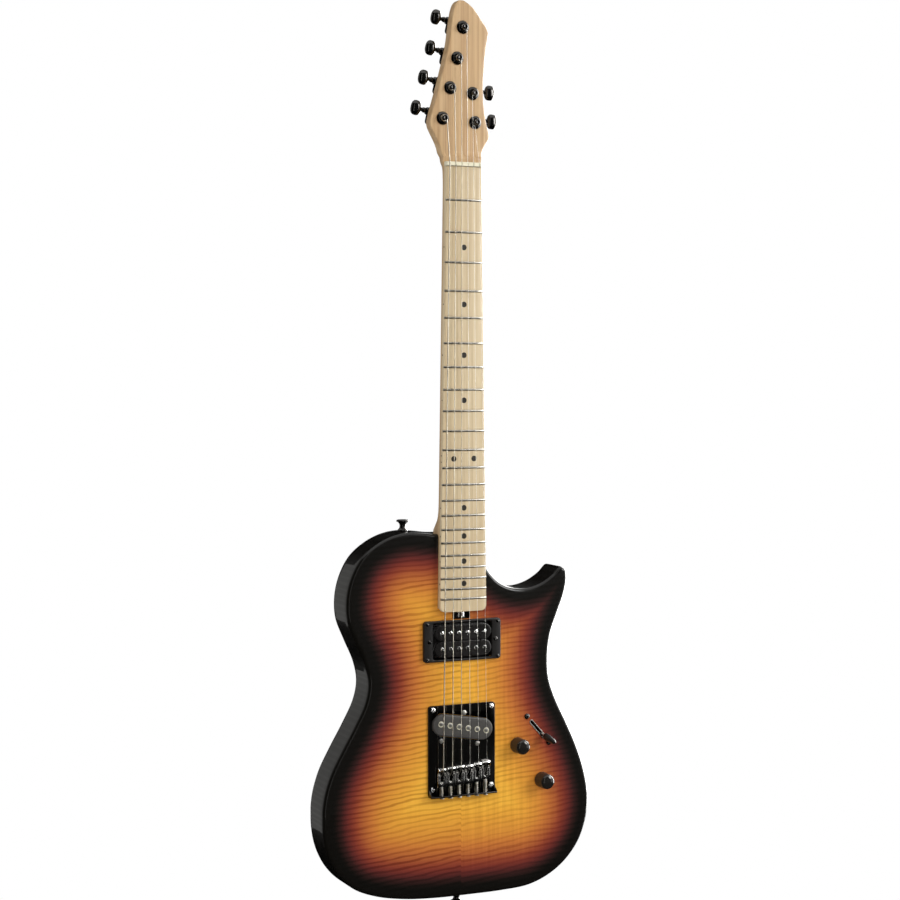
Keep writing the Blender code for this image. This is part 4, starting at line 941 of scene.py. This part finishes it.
for i in range(6):
    x, zc = SADDLE_X[i], SADDLE_Z[i]
    yc = -3.3 + crown(x) + 0.3
    s = np.array([2.2, 2.2, 2.0, 1.0, -0.6, -1.6, -3.0, -18.2, -19.4, -20.0, -20.0])
    h = np.array([5.6, yc + 2.0, yc + 1.3, yc + 0.15, yc, yc + 0.9, yc + 2.5, yc + 2.6, yc + 3.1, yc + 4.0, 5.6])
    o = rounded(10.1, 22.2, 0.8, 5, x=x, z=zc - 8.9)
    o = refined(o, 8)
    a2 = np.arctan2(o[0][:, 1] - (zc - 9.2), o[0][:, 0] - x)
    n = stadium_at(12.0, 4.4, a2, math.pi / 2, x, zc - 9.2)
    height = (lambda q: np.interp(-(q - zc), -s[1:-1], h[1:-1]))
    rows = [np.stack([o[0][:, 0], np.full(len(a2), 5.88), o[0][:, 1]], -1)]
    for inset, drop in ((0.0, 0.45), (0.13, 0.13), (0.45, 0.0)):
        q = o[0] - o[1] * inset
        rows.append(np.stack([q[:, 0], height(np.clip(q[:, 1], zc - 20, zc + 2.2)) + drop, q[:, 1]], -1))
    for share in (0.33, 0.66):
        q = (o[0] - o[1] * 0.45) * (1 - share) + (n[0] + n[1] * 0.3) * share
        rows.append(np.stack([q[:, 0], height(np.clip(q[:, 1], zc - 20, zc + 2.2)), q[:, 1]], -1))
    for inset, drop in ((-0.3, 0.0), (-0.08, 0.1), (0.0, 0.35)):
        q = n[0] - n[1] * inset
        rows.append(np.stack([q[:, 0], height(q[:, 1]) + drop, q[:, 1]], -1))
    rows.append(np.stack([n[0][:, 0], np.full(len(a2), 5.88), n[0][:, 1]], -1))
    parts = [skin(np.array(rows), "saddle", loop_u=True)]
    for sx in (-3.5, 3.5):
        parts.append(lathe([(0.6, yc + 2.9), (0.65, yc + 1.9), (1.05, yc + 1.75), (1.15, yc + 2.1), (1.15, yc + 3.5), (0.6, yc + 3.5)],
                           seat((x + sx, 0, zc - 5.2)), "zinc", 18, 0.1, True))
    build("saddle_block_%d" % (i + 1), parts, "saddle_%d" % (i + 1), ["saddle_%d" % (i + 1)], sharp=30)
    t = np.linspace(0, 1, 92)
    z0, z1 = zc - 20.2, REAR_Z + 2.3
    coil = np.stack([x + 2.15 * np.cos(t * TAU * 5.5), ROD_Y + 2.15 * np.sin(t * TAU * 5.5), z0 + (z1 - z0) * t], -1)
    spring = build("saddle_spring_%d" % (i + 1), [tube(coil, 0.33, "spring", 7)])
    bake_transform(spring)

# ---------------------------------------------------------------- pickups
ring_out = refined(rounded(91.8, 44.7, 3.5, 5, x=0, z=RING_Z), 6)
ring_in = refined(rounded(70.5, 39.6, 2.5, 5, x=0, z=RING_Z), 6)
ring = [hoop(ring_out, ring_in, 4.2, 8.2, FRONT, "plastic", 0.8)]
build("humbucker_ring", ring, "guitar", ["pickup_ring"], sharp=40)
ring_screws = [cross_screw(seat((sx * 42.0, 0, RING_Z + dz)), 4.0, 1.8, 0.7, "black_chrome", turn=sx + dz)
               for sx in (-1, 1) for dz in (-19.1, 19.1)]
ring_screws += [cross_screw(seat((sx * 39.4, 0, RING_Z)), 4.0, 2.2, 0.9, "black_chrome", turn=sx * 0.6) for sx in (-1, 1)]
build("ring_screws", ring_screws, "guitar")


def stadium_shape(length, width, k=12):
    t = np.linspace(-math.pi / 2, math.pi / 2, k + 1)
    h, r = (length - width) / 2, width / 2
    d = np.stack([np.cos(t), np.sin(t)], -1)
    return (np.concatenate([d * r + [h, 0], -d * r - [h, 0]]), np.concatenate([d, -d]))


bobbins = [slab(rounded(68.0, 37.0, 2.0, x=0, z=RING_Z), soften([(0, 17.5), (0, 9.4), (0.6, 9.0), (3, 9.0)], 0.3), FRONT, "bobbin"),
           slab(rounded(85.0, 10.0, 3.0, x=0, z=RING_Z), [(0, 16.6), (0, 15.0)], FRONT, "zinc")]
poles = []
for dz in (-8.9, 8.9):
    at = seat((0, 0, RING_Z + dz))
    bobbins.append(slab(stadium_shape(67.0, 17.2), soften([(0, 9.6), (0, 8.4), (2.6, 8.0), (2.6, 5.0), (0, 4.5), (0, 3.0), (0.45, 2.6),
                                                           (3.0, 2.62)], 0.35), at, "bobbin"))
for j in range(6):
    px = 10.1 * (j - 2.5)
    poles.append(cross_screw(seat((px, 0, -503.2)), 2.3, 2.4, 0.55, "chrome", 32, 0.14, 0.6, True, 0.3 + 0.5 * j))
    poles.append(lathe([(0, 2.35), (2.1, 2.35), (2.4, 2.6), (2.4, 3.4)], seat((px, 0, -520.6)), "chrome", 32, 0.15))
build("humbucker", bobbins, "neck_pickup", ["neck_pickup"], sharp=35)
build("humbucker_poles", poles, "neck_pickup")
lead = [slab(refined(stadium_shape(72.4, 23.8), 3), soften([(0, 17.5), (0, 4.6), (1.1, 3.42), (6.0, 3.4)], 0.5), PICKUP, "grey_plastic"),
        slab(rounded(72.0, 36.0, 9.0), [(0, 17.5), (0, 15.5)], PICKUP, "bobbin")]
lead_poles = []
for j in range(6):
    cx, cz = -26.0 + 10.8 * j, -601.8 - 2.1 * j
    lead_poles.append(lathe([(0, 3.15), (2.2, 3.15), (2.5, 3.4), (2.5, 4.2)], seat((cx, 0, cz)), "zinc", 32, 0.15))
    lead_poles.append(lathe([(2.5, 3.42), (2.72, 3.28), (3.05, 3.28), (3.15, 3.42)], seat((cx, 0, cz)), "bone", 32, 0.05))
build("bridge_pickup_cover", lead, "bridge_pickup", ["bridge_pickup"], sharp=35)
build("bridge_pickup_poles", lead_poles, "bridge_pickup")

# ---------------------------------------------------------------- controls
for name, x, z in (("volume", 68.0, -632.5), ("tone", 98.2, -673.6)):
    tip = -10.5
    at = seat((x, 0, z))
    build(name + "_knob_cap",
          [lathe([(6.7, 3.2), (6.7, 8.0), (8.6, 8.0), (8.45, 0.0), (8.3, tip + 4.2), (8.05, tip + 3.1), (7.7, tip + 2.6)], at, "knob", 72, 0.3),
           lathe([(7.7, tip + 2.6), (7.35, tip + 2.0), (6.4, tip + 1.15), (4.6, tip + 0.5), (2.4, tip + 0.12), (0, tip)], at,
                 "knob_top", 72, 0.6),
           lathe([(3.0, 3.2), (3.0, 25.0), (0, 25.0)], at, "zinc", 24, 0.1),
           lathe([(6.7, 3.2), (3.0, 3.2)], at, "knob", 72, 0)],
          name + "_control", [name + "_knob"])
    build(name + "_pot_case",
          [lathe([(3.3, 4.4), (4.8, 4.4), (4.8, 6.2), (6.2, 6.2), (6.2, 8.2), (4.8, 8.2), (4.8, 16.6), (12.0, 16.6),
                  (12.0, 27.0), (3.3, 27.0)], at, "zinc", 40, 0.3, True)], "guitar", [name + "_pot"])

direction = np.array([math.cos(math.radians(-48.7)), 0, math.sin(math.radians(-48.7))])
cross = np.array([-direction[2], 0, direction[0]])
switch = [slab(rounded(46.5, 13.0, 1.5), [(0, 13.9), (0, 36.0)], SWITCH, "plastic"),
          hoop(refined(stadium_shape(28.6, 5.0, 8), 4), refined(stadium_shape(26.2, 2.6, 8), 4), 8.15, 9.4, SWITCH, "zinc", 0.2)]
for s in (-20.65, 20.65):
    switch.append(cross_screw(seat(direction * s + [93.7, 0, -617.2]), 7.6, 3.0, 1.2, "black_chrome", turn=s))
build("selector_case", switch, "guitar", ["switch_body"])
tilt = math.radians(20.0)
along = direction * math.sin(tilt) + np.array([0, -1, 0]) * math.cos(tilt)
over = direction * math.cos(tilt) - np.array([0, -1, 0]) * math.sin(tilt)
LEVER = seat((93.7, 30.5, -617.2), over, cross, along)
build("selector_blade", [slab(rounded(4.2, 1.0, 0.3, 3), [(0, -2.6), (0, 36.4), (0.3, 37.0)], LEVER, "zinc")],
      "selector", ["switch_lever"])
hs = np.array([28.7, 28.9, 29.6, 31.0, 33.0, 38.0, 43.0, 45.0, 46.1, 46.55])
ha = np.array([2.4, 3.2, 4.2, 4.65, 4.7, 4.2, 3.4, 2.8, 1.8, 0.5])
hb = np.array([1.9, 2.6, 3.3, 3.75, 3.8, 3.4, 2.8, 2.3, 1.5, 0.4])
v = (np.arange(28) * TAU / 28)[None]
sq = (lambda w: np.sign(w) * np.abs(w) ** 0.8)
tip_grid = LEVER(ha[:, None] * sq(np.cos(v)), hb[:, None] * sq(np.sin(v)), hs[:, None] + 0 * v)
tip_grid = np.concatenate([np.repeat(tip_grid[:1].mean(1)[:, None], 28, 1), tip_grid, np.repeat(tip_grid[-1:].mean(1)[:, None], 28, 1)])
build("selector_tip", [skin(tip_grid, "plastic")], "selector", ["switch_tip"], sharp=60)

# ---------------------------------------------------------------- back, side and strap fittings
def grown(points, d):
    """Outline moved out from its own middle by d."""
    p = np.array(points, float)
    m = p.mean(0)
    r = np.linalg.norm(p - m, axis=1)[:, None]
    return m + (p - m) * (r + d) / r


lid = curve(grown(CAVITY, 5.4), 4)
build("control_lid", [slab((lid, outline_normals(lid)), soften([(0, 50.8), (0, 52.4), (0.6, 52.8), (6, 52.8)], 0.25), FRONT, "plastic")],
      "guitar", ["control_cover"])
lid_screws = [cross_screw(seat((x, 0, z), (1, 0, 0), (0, 0, 1), (0, -1, 0)), -52.7, 2.7, 0.8, "zinc", turn=x)
              for x, z in ((60, -612), (106, -592), (141, -700), (64, -684))]
build("lid_screws", lid_screws, "guitar")
build("heel_plate", [slab(rounded(50, 63, 5, x=0, z=-436.5), soften([(0, 50.8), (0, 52.3), (0.5, 52.8), (6, 52.8)], 0.3), FRONT,
                          "black_chrome")], "guitar", ["neck_plate"])
build("heel_screws", [cross_screw(seat((x, 0, z), (1, 0, 0), (0, 0, 1), (0, -1, 0)), -53.0, 4.1, 1.6, "chrome", 48, turn=x + z)
                      for x in (-19, 19) for z in (-411.5, -461.5)], "guitar")
for i, x in enumerate(SADDLE_X, 1):
    build("string_ferrule_%d" % i,
          [lathe([(1.2, 38.0), (3.6, 38.0), (3.6, 50.8), (4.6, 50.8), (4.6, 51.4), (4.1, 51.9), (2.8, 51.9), (2.4, 51.3),
                  (2.4, 46.0), (1.2, 46.0)], seat((x, 0, TAIL_Z)), "black_chrome", 36, 0.2, True),
           lathe([(0, 45.2), (1.9, 45.2), (2.0, 46.2)], seat((x, 0, TAIL_Z)), "spring", 20, 0.1)],
          "guitar", ["ferrule_%d" % i])
out_x = refined(rounded(24.0, 36.0, 3.0, 5), 5)
jack_hole = (out_x[0] / np.linalg.norm(out_x[0], axis=1)[:, None] * 5.0, out_x[0] / np.linalg.norm(out_x[0], axis=1)[:, None])
EDGE = seat((0, 29.5, -697.0), (0, 1, 0), (0, 0, 1), (-1, 0, 0))
build("jack_escutcheon", [hoop(out_x, jack_hole, -158.4, -156.9, EDGE, "black_chrome", 0.4)]
      + [cross_screw(seat((0, 29.5, -697.0 + d), (0, 1, 0), (0, 0, 1), (-1, 0, 0)), -158.5, 2.4, 0.8, "zinc") for d in (-14.5, 14.5)],
      "guitar", ["jack_plate"])
hexa = np.arange(48) * TAU / 48
flat = 6.1 / np.cos((hexa % (TAU / 6)) - TAU / 12)
nut_shape = (np.stack([np.cos(hexa) * np.minimum(flat, 6.95), np.sin(hexa) * np.minimum(flat, 6.95)], -1),
             np.stack([np.cos(hexa), np.sin(hexa)], -1))
nut_hole = (np.stack([np.cos(hexa), np.sin(hexa)], -1) * 4.6, np.stack([np.cos(hexa), np.sin(hexa)], -1))
build("jack_socket",
      [lathe([(3.35, 134.0), (9.2, 134.0), (9.2, 156.3), (4.6, 156.3), (4.6, 161.2), (4.3, 162.0), (3.6, 162.0), (3.35, 161.6)],
             SIDE, "zinc", 40, 0.2, True),
       hoop(nut_shape, nut_hole, -160.6, -158.7, EDGE, "chrome", 0.35)], "guitar", ["output_jack"])
KNOB = [(0, 0.1), (5.6, 0.1), (5.6, 1.2), (3.7, 3.0), (3.4, 5.2), (3.5, 7.2), (5.2, 9.5), (7.0, 10.1), (7.0, 11.5), (5.6, 12.2), (3.2, 12.2)]
for name, at in (("upper", seat((-60.0, 29.5, -392.5), (1, 0, 0), (0, 1, 0), (0, 0, 1))),
                 ("end", seat((4.0, 29.5, -794.2), (1, 0, 0), (0, 1, 0), (0, 0, -1)))):
    # The dark disc in each strap button's hollow is painted shade
    build("strap_peg_" + name, [lathe(KNOB, at, "black_chrome", 48, 0.5),
                                lathe([(3.2, 12.2), (2.9, 11.4), (0, 11.4)], at, "hole", 32, 0.1)],
          "guitar", ["strap_button_" + name])
spokes = np.arange(60) * TAU / 60
wheel = 5.75 - 0.45 * (np.cos(spokes * 6) > 0.6)
DOWN = seat((0, 12.3, 0), (1, 0, 0), (0, 1, 0), (0, 0, -1))
ring_d = np.stack([np.cos(spokes), np.sin(spokes)], -1)
build("truss_wheel", [hoop((ring_d * wheel[:, None], ring_d), (ring_d * 2.8, ring_d), 481.0, 487.0, DOWN, "chrome", 0.4)],
      "truss_nut", ["truss_rod_nut"])
build("truss_bar", [slab(rounded(6.0, 9.0, 0.8, 3), [(0, 8.6), (0, 477.5)], seat((0, 11.5, 0), (1, 0, 0), (0, 1, 0), (0, 0, -1)), "zinc"),
                    lathe([(0, 470), (2.4, 470), (2.4, 487.2), (0, 487.4)], DOWN, "zinc", 20, 0.2)],
      "guitar", ["truss_rod"])
